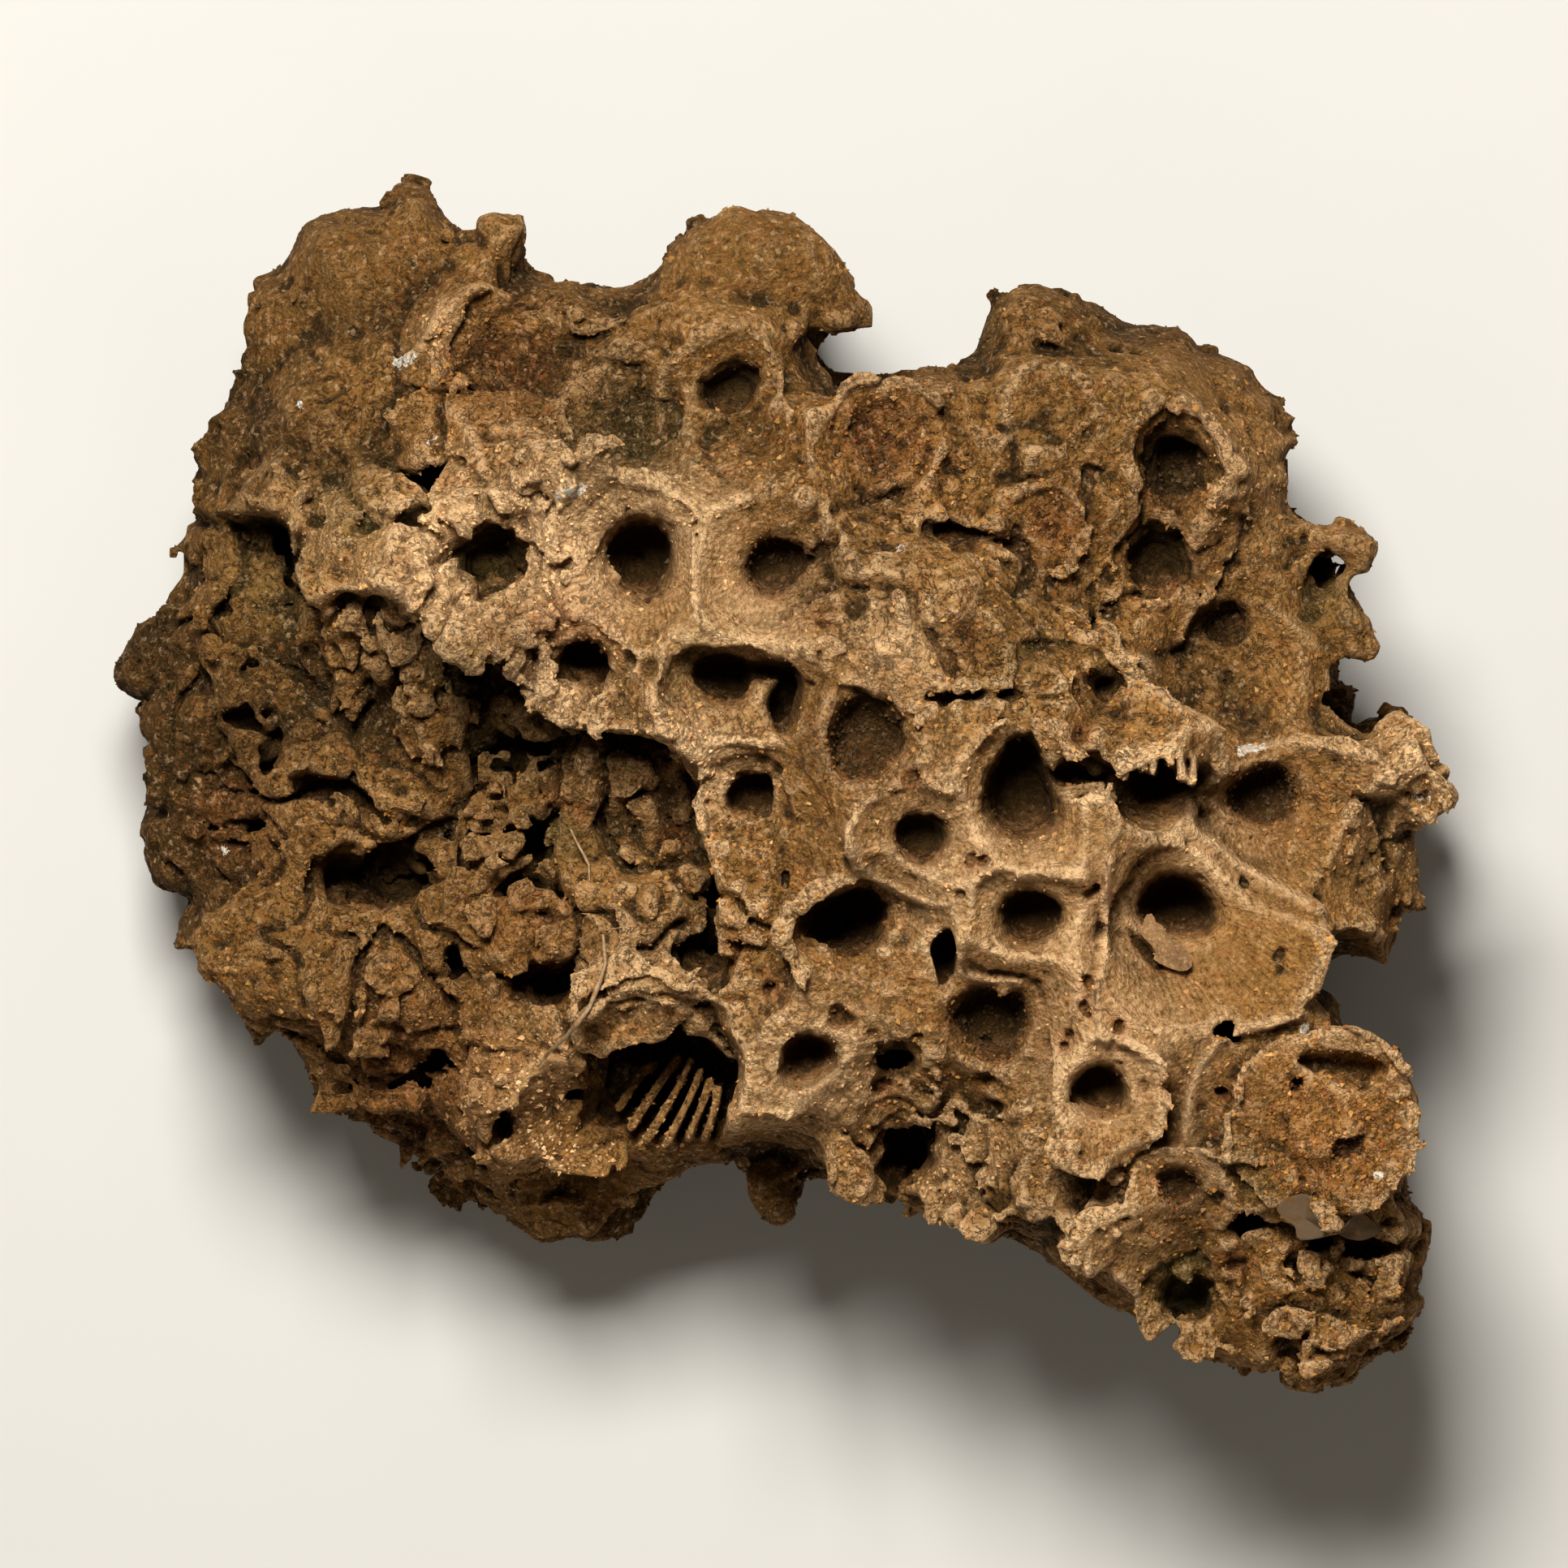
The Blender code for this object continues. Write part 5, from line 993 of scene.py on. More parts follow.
def landings(block, starts, ways):
    """Where rays from outside first meet the stone. A ray that misses it is dropped."""
    reach = np.arange(0.0, BLOCK_HIGH[2] - BLOCK_LOW[2], 0.5 * block.step)
    path = starts[:, None] + reach[None, :, None] * ways[:, None]
    hit = nearest_sample(block.distance, block, path.reshape(-1, 3)).reshape(path.shape[:2]) < 0.0
    return path[np.arange(len(path)), hit.argmax(axis=1)][hit.any(axis=1)]


def strewn_places(block, table, flank_count, random):
    """A place on the stone, a half size and a flatness for each small thing that is strewn over it."""
    places, sizes, flats = [], [], []
    for group in table:
        spots = random.normal(size=(group.count, 3)) * group.spread + (*to_plan(group.at), 0.0)
        spots[:, 2] = BLOCK_HIGH[2]
        size = random_sizes(random, group.count, (group.small, group.large), STREWN_POWER)
        landed = landings(block, spots, np.broadcast_to((0.0, 0.0, -1.0), spots.shape))
        places.append(landed)
        sizes.append(size[:len(landed)])
        flats.append(np.full(len(landed), group.flat))
    turn = 2.0 * math.pi * random.random(flank_count)
    ways = -np.column_stack([np.cos(turn), np.sin(turn), FLANK_STEEP * random.random(flank_count)])
    starts = -(np.abs(EDGE).max() + FLANK_START) * ways + random.normal(size=ways.shape) * FLANK_SCATTER
    starts[:, 2] = FLANK_HEIGHTS[0] + FLANK_HEIGHTS[1] * random.random(flank_count)
    landed = landings(block, starts, ways)
    places.append(landed)
    sizes.append(random_sizes(random, len(landed), FLANK_SIZES, STREWN_POWER))
    flats.append(np.full(len(landed), FLANK_FLAT))
    return np.concatenate(places), np.concatenate(sizes), np.concatenate(flats)


def add_crumbs(block):
    """Broken bits of stone, each a small box with worn edges, turned any way or lying flat."""
    random = np.random.default_rng(CRUMB_SEED)
    for place, size, flat in zip(*strewn_places(block, CRUMBS, FLANK_CRUMBS, random)):
        spin = turned_any_way(random)
        half = size * random.uniform(*CRUMB_AXES, 3)
        if flat < FLAKE_BELOW:
            spin = np.array(axes_along((*random.normal(scale=FLAKE_TILT, size=2), 1.0)))
            half = half * (FLAKE_WIDE, FLAKE_WIDE, flat)
        spans, x, y, z = block.near(place, CRUMB_REACH * size + 1.0)
        apart = [np.abs(x * v[0] + y * v[1] + z * v[2]) - h for v, h in zip(spin, half)]
        outside = np.sqrt(sum(np.maximum(gap, 0.0) ** 2 for gap in apart))
        inside = np.minimum(np.maximum(np.maximum(*apart[:2]), apart[2]), 0.0)
        shape = outside + inside - CRUMB_ROUND
        block.distance[spans] = np.minimum(block.distance[spans], shape)


def cut_pores(block):
    """Small holes that go a little way into the stone."""
    holes = [Strewn(place, HOLE_SPREAD, HOLE_BITES, *HOLE_SIZES, HOLE_DEEP) for place in SMALL_HOLES]
    for table, flank_count, seed in ((PORES, FLANK_PORES, PORE_SEED), (holes, 0, HOLE_SEED)):
        random = np.random.default_rng(seed)
        for place, size, deep in zip(*strewn_places(block, table, flank_count, random)):
            spans, x, y, z = block.near(place, PORE_REACH * size * deep + 1.0)
            half = size * np.array((*random.uniform(*PORE_AXES, 2), deep))
            shape = ellipsoid(x, y, z, half, 180.0 * random.random())
            block.distance[spans] = np.maximum(block.distance[spans], -shape)


def ridge_share(block):
    """How much of a thin wall stands over each place of the plan, from 0 to 1."""
    x, y = np.meshgrid(*block.axes[:2], indexing="ij")
    starts, ends = [], []
    for ridge in RIDGES:
        line = curve(ridge, closed=False)
        starts += list(line[:-1])
        ends += list(line[1:])
    return np.exp(-(distance_to_runs(x, y, starts, ends) / RIDGE_WIDTH) ** 2)


def coral_block(step):
    block = Block(step)
    ragged = sum(height * noise(block, lump, RAGGED_SEED + k) for k, (lump, height) in enumerate(RAGGED))
    outline = fill_block(block)
    add_lumps(block, ragged)
    weather(block, ROUGHNESS, NOISE_SEED)
    cups = all_cups()
    raise_walls(block, cups)
    block.distance = smooth_maximum(block.distance, outline - OUTLINE_MARGIN, MARGIN_ROUND)
    cut_cups(block, cups, ragged)
    cut_hollows(block, ragged)
    add_crumbs(block)
    cut_pores(block)
    weather(block, WEAR, WEAR_SEED, WEAR_SHARE)
    open_fissures(block)
    weather(block, FINE_WEAR, FINE_SEED, FINE_SHARE)
    block.ridges = ridge_share(block)
    block.distance -= RIDGE_RISE * block.ridges[..., None]
    add_blades(block, ragged)
    block.distance = np.maximum(block.distance, -block.axes[2][None, None, :]).astype(np.float32)
    return block


def blurred(share, reach):
    """The share of stone within reach samples of each sample, as a box blur run twice."""
    for _ in range(2):
        for axis in range(3):
            total = np.cumsum(share, axis=axis, dtype=np.float32)
            total = np.concatenate([np.zeros_like(np.take(total, [0], axis)), total], axis=axis)
            count = share.shape[axis]
            high = np.clip(np.arange(count) + reach + 1, 0, count)
            low = np.clip(np.arange(count) - reach, 0, count)
            share = (np.take(total, high, axis) - np.take(total, low, axis)) / (2 * reach + 1)
    return share


def nearest_sample(values, block, points):
    """Values of a grid at the nearest samples to the points."""
    index = np.rint((points - np.array(BLOCK_LOW)) / block.step).astype(int)
    index = np.clip(index, 0, np.array(values.shape) - 1)
    return values[tuple(index.T)]


def smooth_sample(values, block, points):
    """Values of a grid, in plan or in space, at the points, each mixed from the samples round it."""
    size = values.ndim
    place = (points[:, :size] - np.array(BLOCK_LOW)[:size]) / block.step
    low = np.clip(np.floor(place).astype(int), 0, np.array(values.shape) - 2)
    share = np.clip(place - low, 0.0, 1.0)
    total = np.zeros(len(points))
    for corner in np.ndindex(*(2,) * size):
        weight = np.prod(np.where(corner, share, 1.0 - share), axis=1)
        total += weight * values[tuple((low + corner).T)]
    return total


def store(mesh, name, values):
    """Keep a number or a vector for each point of a mesh, which its material reads."""
    values = np.asarray(values, np.float32)
    if values.ndim == 1:
        mesh.attributes.new(name, "FLOAT", "POINT").data.foreach_set("value", values)
    else:
        mesh.attributes.new(name, "FLOAT_VECTOR", "POINT").data.foreach_set("vector", values.ravel())


def spots_mask(points, spots):
    """How strongly each point lies in one of the spots, from 0 to 1."""
    mask = np.zeros(len(points))
    for place, radius, strength in spots:
        x, y = to_plan(place)
        away = (points[:, 0] - x) ** 2 + (points[:, 1] - y) ** 2
        mask = np.maximum(mask, strength * np.exp(-away / radius**2))
    return mask


def largest_shell(points, quads):
    """The faces of the largest connected surface, and its points renumbered."""
    label = np.arange(len(points))
    edges = np.concatenate([quads[:, [0, 1]], quads[:, [1, 2]], quads[:, [2, 3]]])
    while True:
        low = np.minimum(label[edges[:, 0]], label[edges[:, 1]])
        linked = label.copy()
        np.minimum.at(linked, label[edges[:, 0]], low)
        np.minimum.at(linked, label[edges[:, 1]], low)
        linked = linked[linked[linked]]
        if np.array_equal(linked, label):
            break
        label = linked
    kept = label == np.bincount(label).argmax()
    number = np.cumsum(kept) - 1
    return points[kept], number[quads[kept[quads[:, 0]]]]


def surface_of(block):
    """Points in mm and outward quads of the stone's one outer surface, where the distance is zero."""
    block.distance[[0, -1]] = block.distance[:, [0, -1]] = block.distance[:, :, [0, -1]] = FAR
    grid = openvdb.FloatGrid(FAR)
    grid.copyFromArray(np.clip(block.distance, -FAR, FAR))
    points, quads = grid.convertToQuads(0.0)
    points, quads = largest_shell(points, quads.astype(int))
    return points * block.step + np.array(BLOCK_LOW), quads


class Look:
    """A new material, with short ways to make the nodes that its colour and relief are mixed from.

    Wherever a value goes in, it's a number, a colour or another node's output.
    """

    def __init__(self, name):
        self.material = bpy.data.materials.new(name)
        self.material.use_nodes = True
        self.tree = self.material.node_tree
        self.inputs = self.tree.nodes["Principled BSDF"].inputs

    def put(self, value, socket):
        if isinstance(value, bpy.types.NodeSocket):
            self.tree.links.new(value, socket)
        else:
            socket.default_value = value

    def node(self, kind, output, **values):
        """An output of a new shader node, with its settings and inputs given by name."""
        made = self.tree.nodes.new("ShaderNode" + kind)
        for name, value in values.items():
            if hasattr(made, name):
                setattr(made, name, value)
            else:
                self.put(value, made.inputs[name.replace("_", " ")])
        return made.outputs[output]

    def attribute(self, name, output="Fac"):
        return self.node("Attribute", output, attribute_name=name)

    def ramp(self, value, name):
        """A value turned into a share, by the ramp of this name."""
        low, high, *shares = RAMPS[name]
        start, end = shares or (0.0, 1.0)
        return self.node(
            "MapRange", "Result", Value=value, From_Min=low, From_Max=high, To_Min=start, To_Max=end)

    def math(self, operation, value, *others):
        """One operation on a value, or on several of them in turn."""
        for other in others or (0.0,):
            made = self.tree.nodes.new("ShaderNodeMath")
            made.operation = operation
            self.put(value, made.inputs[0])
            self.put(other, made.inputs[1])
            value = made.outputs[0]
        return value

    times = functools.partialmethod(math, "MULTIPLY")
    plus = functools.partialmethod(math, "ADD")
    least = functools.partialmethod(math, "MINIMUM")
    most = functools.partialmethod(math, "MAXIMUM")

    def mix(self, share, under, over):
        """A share of one colour over another."""
        made = self.tree.nodes.new("ShaderNodeMix")
        made.data_type = "RGBA"
        sockets = {socket.identifier: socket for socket in (*made.inputs, *made.outputs)}
        self.put(share, sockets["Factor_Float"])
        self.put(under, sockets["A_Color"])
        self.put(over, sockets["B_Color"])
        return sockets["Result_Color"]

    def texture(self, kind, output, scale, **values):
        """A texture over the object's own coordinates, with this many features to the mm."""
        place = self.node("TexCoord", "Object")
        return self.node(kind, output, Vector=place, Scale=scale / METRES, **values)

    def noise(self, name):
        scale, detail, roughness, distortion = NOISES[name]
        return self.texture(
            "TexNoise", "Fac", scale, Detail=detail, Roughness=roughness, Distortion=distortion)

    def bump(self, height, strength, deep):
        return self.node("Bump", "Normal", Height=height, Strength=strength, Distance=deep * METRES)

    def finish(self, **values):
        """The material, once the inputs of its shader have these values."""
        for name, value in values.items():
            self.put(value, self.inputs[name.replace("_", " ")])
        return self.material


def cup_lines(look, patches):
    """Fine ribs that run in to each pit, and growth rings round the outside of each wall, from -1 to 1."""
    place = look.attribute("cup_place", "Vector")
    across, along, over = (look.node("SeparateXYZ", axis, Vector=place) for axis in "XYZ")
    angle = look.math("ARCTAN2", along, across)
    radius = look.math("SQRT", look.plus(look.times(across, across), look.times(along, along)))
    radius = look.math("DIVIDE", radius, look.attribute("cup_mouth"))
    waver = look.times(patches, LINE_WAVER)
    turn = look.plus(look.times(angle, look.attribute("cup_ribs")), waver)
    climb = look.plus(look.times(over, 2.0 * math.pi / FINE_RIB), waver)
    ribs = look.times(look.math("SINE", turn), look.ramp(radius, "ribs from"), look.ramp(radius, "ribs to"))
    rings = look.times(look.math("SINE", climb), look.ramp(radius, "rings from"))
    rings = look.times(rings, look.ramp(radius, "rings to"))
    return look.times(look.ramp(patches, "lines shown"), look.plus(ribs, rings))


def stone_pale(look, masks, speckle):
    """How much paler the stone is: on spots, edges and thin walls, more of it high up, none of it in pits."""
    pale = look.plus(masks["pale"], look.ramp(masks["cavity"], "edges"))
    # Painted light: paler high up
    pale = look.times(pale, look.ramp(masks["level"], "pale height"), look.ramp(speckle, "pale speckle"))
    pale = look.times(look.most(pale, masks["ridge"]), masks["open"])
    return look.least(look.times(pale, PALE_SHARE), PALE_MOST)


def stone_painted_shade(look, masks, patches):
    """Painted shade: in nooks and hollows, on shaded spots, low down and most of all in pits."""
    painted_shade = look.plus(
        look.ramp(masks["cavity"], "painted shade in nooks"), look.ramp(masks["hollow"], "painted shade in hollows"),
        look.times(masks["shade"], SHADE_SHARE), look.times(masks["depth"], DEPTH_SHARE),
        look.ramp(masks["level"], "painted shade height"),
    )
    painted_shade = look.times(painted_shade, look.ramp(patches, "painted shade patches"), masks["calm on pale"])
    return look.least(look.most(painted_shade, look.times(masks["pit"], PIT_SHARE)), PAINTED_SHADE_MOST)


def stone_material():
    look = Look("ochre_fossil_stone")
    masks = {name: look.attribute(name) for name in STONE_MASKS}
    masks["open"] = look.ramp(masks["pit"], "open air")
    masks["calm on pale"] = look.ramp(masks["pale"], "calm on pale")
    broad, patches, veins, speckle, fine, drift = map(
        look.noise, ("broad", "patches", "veins", "speckle", "fine", "drift"))
    granules = look.texture("TexVoronoi", "Distance", CELLS)
    tint = look.texture("TexVoronoi", "Color", CELLS)
    tint, glint = (look.node("SeparateColor", channel, Color=tint) for channel in ("Red", "Green"))
    lines = cup_lines(look, patches)
    crack = look.ramp(look.math("ABSOLUTE", look.math("SUBTRACT", veins, 0.5)), "crack")
    crack = look.times(crack, look.ramp(masks["rough"], "crack rough"))
    dots = look.most(look.ramp(fine, "fine dots"), look.ramp(speckle, "dots"), look.times(crack, CRACK_SHARE))
    white = look.plus(masks["white"], look.ramp(speckle, "white speckle"))
    sparkle = look.ramp(glint, "sparkle")
    # Painted light: the pale is paler still high up
    bright = look.mix(look.ramp(masks["level"], "bright height"), TAN, PALE)
    colour = BROWN
    for share, layer in (
        (look.ramp(patches, "ochre"), OCHRE),
        (look.ramp(broad, "tan"), TAN),
        (look.ramp(drift, "rust drift"), RUST),
        (look.ramp(drift, "olive drift"), OLIVE),
        (stone_pale(look, masks, speckle), bright),
        # Painted shade: darker in nooks, hollows and pits, on shaded spots and low down
        (stone_painted_shade(look, masks, patches), DARK),
        (masks["green"], OLIVE),
        (look.times(masks["red"], look.ramp(speckle, "red speckle"), masks["open"]), RUST),
        (look.ramp(lines, "dark lines"), DARK),
        (look.times(dots, masks["calm on pale"]), DARK),
        (look.times(look.ramp(speckle, "light"), masks["open"]), PALE),
        (look.times(look.ramp(tint, "rusty"), RUSTY_SHARE, masks["open"]), RUST),
        (look.ramp(white, "white"), WHITE),
        # Painted glints: pale specks where the cells are glossy
        (look.times(sparkle, PAINTED_GLINT_SHARE, masks["open"]), PALE),
    ):
        colour = look.mix(share, colour, layer)
    relief = zip((speckle, granules, fine, veins, crack, lines), RELIEF)
    height = look.plus(*(look.times(layer, share) for layer, share in relief))
    return look.finish(
        Base_Color=colour, Roughness=look.ramp(sparkle, "sparkle gloss"), Specular_IOR_Level=0.08,
        Normal=look.bump(height, 1.0, 1.0),
    )


def cup_space(points, cups):
    """Each point's place in the axes of its cup, that cup's mouth and ribs, and how deep in a pit it is."""
    nearest = np.full(len(points), np.inf)
    place = np.zeros((len(points), 3))
    mouth, ribs, pit = np.ones(len(points)), np.ones(len(points)), np.zeros(len(points))
    for cup, centre, axes in cups:
        right, back, over = ((points - np.array(centre)) @ np.array(axes).T).T
        right, back = slide_to_pit(cup, right, back, over)
        back = back / cup.tall
        radius = np.hypot(right, back)
        drop = cup.depth - cup.fall
        sunk = np.clip((-over - PIT_FROM * cup.fall) / (PIT_FULL * drop), 0.0, 1.0)
        within = np.clip(PIT_EDGE[0] - PIT_EDGE[1] * radius / cup.pit, 0.0, 1.0)
        within = within * (over > -cup.depth - PIT_FLOOR)
        pit = np.maximum(pit, sunk * within * np.clip((cup.depth - PIT_LEAST) / PIT_FADE, 0.0, 1.0))
        away = radius / cup.mouth + HEIGHT_COUNTS * np.abs(over)
        mine = away < nearest
        nearest[mine], mouth[mine] = away[mine], cup.mouth
        place[mine] = np.column_stack([right, back, over])[mine]
        ribs[mine] = round(2.0 * math.pi * cup.mouth / FINE_RIB)
    return place, mouth, ribs, pit


def gap_space(points, below):
    """How deep each point lies in a narrow gap, from 0 at its mouth to 1."""
    deep = np.zeros(len(points))
    for gap in HOLLOWS.values():
        x, y = to_plan(gap.at)
        across, along = turned(points[:, 0] - x, points[:, 1] - y, gap.turn)
        away = np.hypot(across / gap.size[0], along / gap.size[1])
        within = np.clip(GAP_EDGE[0] - GAP_EDGE[1] * away, 0.0, 1.0)
        above_floor = np.clip(points[:, 2] - gap.height + gap.size[2] + GAP_FLOOR, 0.0, 1.0)
        deep = np.maximum(deep, within * above_floor * (min(gap.size[:2]) < WIDE_GAP))
    return deep * np.clip((below - GAP_MOUTH) / GAP_FADE, 0.0, 1.0)


def vertex_masks(points, normals, block):
    """Values at each point that the stone's colour reads: how hollow, how deep and which spots."""
    solid = np.clip(0.5 - block.distance / block.step, 0.0, 1.0)
    reach = 1.0 / block.step
    below = crown_height(points[:, 0], points[:, 1]) - points[:, 2]
    upward = np.clip(normals[:, 2], 0.0, 1.0)
    rough = smooth_sample(broken_share(block, FINE_SHARE), block, points)
    masks = {
        "cavity": smooth_sample(blurred(solid, round(NOOK_REACH * reach)), block, points),
        "hollow": smooth_sample(blurred(solid, round(HOLLOW_REACH * reach)), block, points),
        # Painted shade: darker the deeper below the crown, less so on steep sides
        "depth": np.clip(below / DEEP, 0.0, 1.0) * np.interp(upward, (0.0, 1.0), (FLANK_DEPTH_SHADE, 1.0)),
        # Painted light and shade by height: paler high up, darker low down, and steep sides count as higher
        "level": points[:, 2] + FLANK_BRIGHT * (1.0 - upward),
        "ridge": smooth_sample(block.ridges, block, points),
        "rough": np.clip(rough / ROUGH_FULL, 0.0, 1.0),
    }
    rusty = RED_SPOTS + tuple((place, *HOLE_RUST) for place in SMALL_HOLES)
    for name, spots in (("pale", PALE_SPOTS), ("red", rusty), ("crystal", CRYSTAL_SPOTS),
                        ("white", WHITE_SPOTS), ("shade", SHADE_SPOTS), ("green", GREEN_SPOTS)):
        masks[name] = spots_mask(points, spots)
    masks["white"] *= np.clip(WHITE_DEEP[0] - below / WHITE_DEEP[1], 0.0, 1.0)
    # Painted light: the blades' upward faces are paler, more so high up
    blades = smooth_sample(block.blades, block, points) * np.clip(upward + BLADE_UPWARD, 0.0, 1.0)
    blades *= BLADE_PALE * np.interp(points[:, 2], BLADE_PALE_FROM, (BLADE_LOW_SHARE, 1.0))
    masks["pale"] = np.maximum(masks["pale"], blades)
    masks["ridge"] = np.maximum(masks["ridge"], blades)
    masks["cup_place"], masks["cup_mouth"], masks["cup_ribs"], pit = cup_space(points, all_cups())
    pit = np.maximum(pit, gap_space(points, below))
    # Painted shade: small holes, narrow gaps and pits are dark, less so on south walls that face the lamp,
    # which take rust
    dark = spots_mask(points, [(place, *HOLE_DARK) for place in SMALL_HOLES])
    pit = np.maximum(pit, dark * np.clip(HOLE_NOOK[0] * masks["cavity"] - HOLE_NOOK[1], 0.0, 1.0))
    lit = np.clip(normals[:, 1], 0.0, 1.0)
    masks["pit"] = pit * (1.0 - PIT_LIT * lit)
    masks["red"] = np.maximum(masks["red"], PIT_RED * pit * lit)
    masks["crystal"] = np.maximum(masks["crystal"], PIT_CRYSTAL * pit * lit)
    return masks


def stone_gloom(masks):
    """The painted shade at each point, from 0 to 1, much as the stone's own material has it."""
    gloom = sum(share * np.clip((masks[name] - start) / run, 0.0, 1.0) for name, share, start, run in GLOOM)
    low, high, *shares = RAMPS["calm on pale"]
    gloom = gloom * np.interp(masks["pale"], (low, high), shares)
    return np.clip(np.maximum(GLOOM_SHARE * gloom, PIT_SHARE * masks["pit"]), 0.0, GLOOM_MOST)


def vertex_normals(points, triangles):
    corner = points[triangles]
    across = np.cross(corner[:, 1] - corner[:, 0], corner[:, 2] - corner[:, 0])
    normals = np.zeros_like(points)
    for k in range(3):
        for axis in range(3):
            normals[:, axis] += np.bincount(triangles[:, k], across[:, axis], len(points))
    return normals / np.maximum(np.linalg.norm(normals, axis=1, keepdims=True), LEAST_LENGTH)


def new_object(name, points, faces):
    """An object in the scene, from points in mm."""
    mesh = bpy.data.meshes.new(name)
    mesh.from_pydata((np.asarray(points) * METRES).tolist(), [], np.asarray(faces).tolist())
    mesh.update()
    thing = bpy.data.objects.new(name, mesh)
    bpy.context.scene.collection.objects.link(thing)
    return thing


def finish_piece(thing, material, replaced=None):
    thing.data.materials.append(material)
    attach(thing, "root")
    if replaced:
        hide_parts(replaced)


def thinned(points, quads, triangles):
    """The surface in triangles, no more of them than asked."""
    whole = new_object("whole_coral", points, quads)
    if 2 * len(quads) > triangles:
        modifier = whole.modifiers.new("thinner", "DECIMATE")
        modifier.ratio = triangles / (2 * len(quads))
    else:
        whole.modifiers.new("thinner", "TRIANGULATE")
    evaluated = whole.evaluated_get(bpy.context.evaluated_depsgraph_get())
    mesh = evaluated.to_mesh()
    flat = np.empty(3 * len(mesh.vertices), np.float32)
    mesh.vertices.foreach_get("co", flat)
    mesh.calc_loop_triangles()
    corners = np.empty(3 * len(mesh.loop_triangles), np.int32)
    mesh.loop_triangles.foreach_get("vertices", corners)
    evaluated.to_mesh_clear()
    bpy.data.objects.remove(whole)
    return flat.reshape(-1, 3) / METRES, corners.reshape(-1, 3)


def build_coral(block, material):
    """The fine stone in four quarters that share their edge points and normals."""
    points, quads = surface_of(block)
    points, triangles = thinned(points, quads, TRIANGLES)
    points[np.abs(points[:, 2]) < CUT_SNAP, 2] = 0.0
    normals = vertex_normals(points, triangles)
    masks = vertex_masks(points, normals, block)
    middle = points[triangles].mean(axis=1)
    east, north = middle[:, 0] > 0.0, middle[:, 1] > 0.0
    quarters = {
        "coral_north_west": north & ~east, "coral_north_east": north & east,
        "coral_south_west": ~north & ~east, "coral_south_east": ~north & east,
    }
    for name, chosen in quarters.items():
        used, faces = np.unique(triangles[chosen], return_inverse=True)
        quarter = new_object(name, points[used], faces.reshape(-1, 3))
        for mask, values in masks.items():
            store(quarter.data, mask, values[used])
        quarter.data.shade_smooth()
        quarter.data.normals_split_custom_set_from_vertices(normals[used].tolist())
        finish_piece(quarter, material, replaced="coral_colony")
    return points, triangles, normals, masks


def splinter():
    """The corners and faces of an eight-sided crystal."""
    corners = np.concatenate([np.eye(3), -np.eye(3)])
    faces = [(0, 1, 2), (1, 3, 2), (3, 4, 2), (4, 0, 2), (1, 0, 5), (3, 1, 5), (4, 3, 5), (0, 4, 5)]
    return corners, np.array(faces)


def scatter(name, stone, weight, material, count, sizes, sink, seed):
    """Angular grains sunk a little into the stone, more of them where the weight is larger."""
    points, triangles, normals, masks = stone
    random = np.random.default_rng(seed)
    corner = points[triangles]
    area = np.linalg.norm(np.cross(corner[:, 1] - corner[:, 0], corner[:, 2] - corner[:, 0]), axis=1)
    chance = area * weight[triangles].mean(axis=1)
    chosen = random.choice(len(triangles), count, p=chance / chance.sum())
    share = random.dirichlet((1.0, 1.0, 1.0), count)
    place = np.einsum("ij,ijk->ik", share, corner[chosen])
    outward = normals[triangles[chosen, 0]]
    size = random_sizes(random, count, sizes, GRAIN_POWER)
    ball, faces = splinter()
    stretch = random.uniform(*GRAIN_AXES, (count, 1, 3))
    stretch = stretch * random.uniform(*GRAIN_CORNERS, (count, len(ball), 1))
    spin = turned_any_way(random, count)
    spin[np.linalg.det(spin) < 0, :, 0] *= -1.0
    grains = np.einsum("ijk,ilk->ijl", ball[None] * stretch, spin) * size[:, None, None]
    grains += (place + outward * size[:, None] * (0.5 - sink))[:, None, :]
    clear = grains[:, :, 2].min(axis=1) > GRAIN_CLEAR
    grains = grains[clear]
    every = (faces[None] + len(ball) * np.arange(len(grains))[:, None, None]).reshape(-1, 3)
    thing = new_object(name, grains.reshape(-1, 3), every)
    store(thing.data, "tint", np.repeat(random.random(len(grains)), len(ball)))
    for mask in ("gloom", "pale", "green"):
        store(thing.data, mask, np.repeat(masks[mask][triangles[chosen, 0]][clear], len(ball)))
    finish_piece(thing, material)


def grain_material():
    look = Look("grain_crystal")
    tint, speckle, gloom = look.attribute("tint"), look.noise("grain"), look.attribute("gloom")
    colour = DARK
    for share, layer in (
        (look.ramp(tint, "grain brown"), BROWN),
        (look.ramp(tint, "grain ochre"), OCHRE),
        (look.ramp(tint, "grain tan"), TAN),
        (look.ramp(tint, "grain rust"), RUST),
        (look.ramp(speckle, "grain speckle"), BROWN),
        # Painted shade, taken from the stone
        (look.least(look.times(gloom, GRAIN_GLOOM), GRAIN_GLOOM_MOST), DARK),
    ):
        colour = look.mix(share, colour, layer)
    return look.finish(Base_Color=colour, Roughness=look.ramp(tint, "grain gloss"), Specular_IOR_Level=0.25)


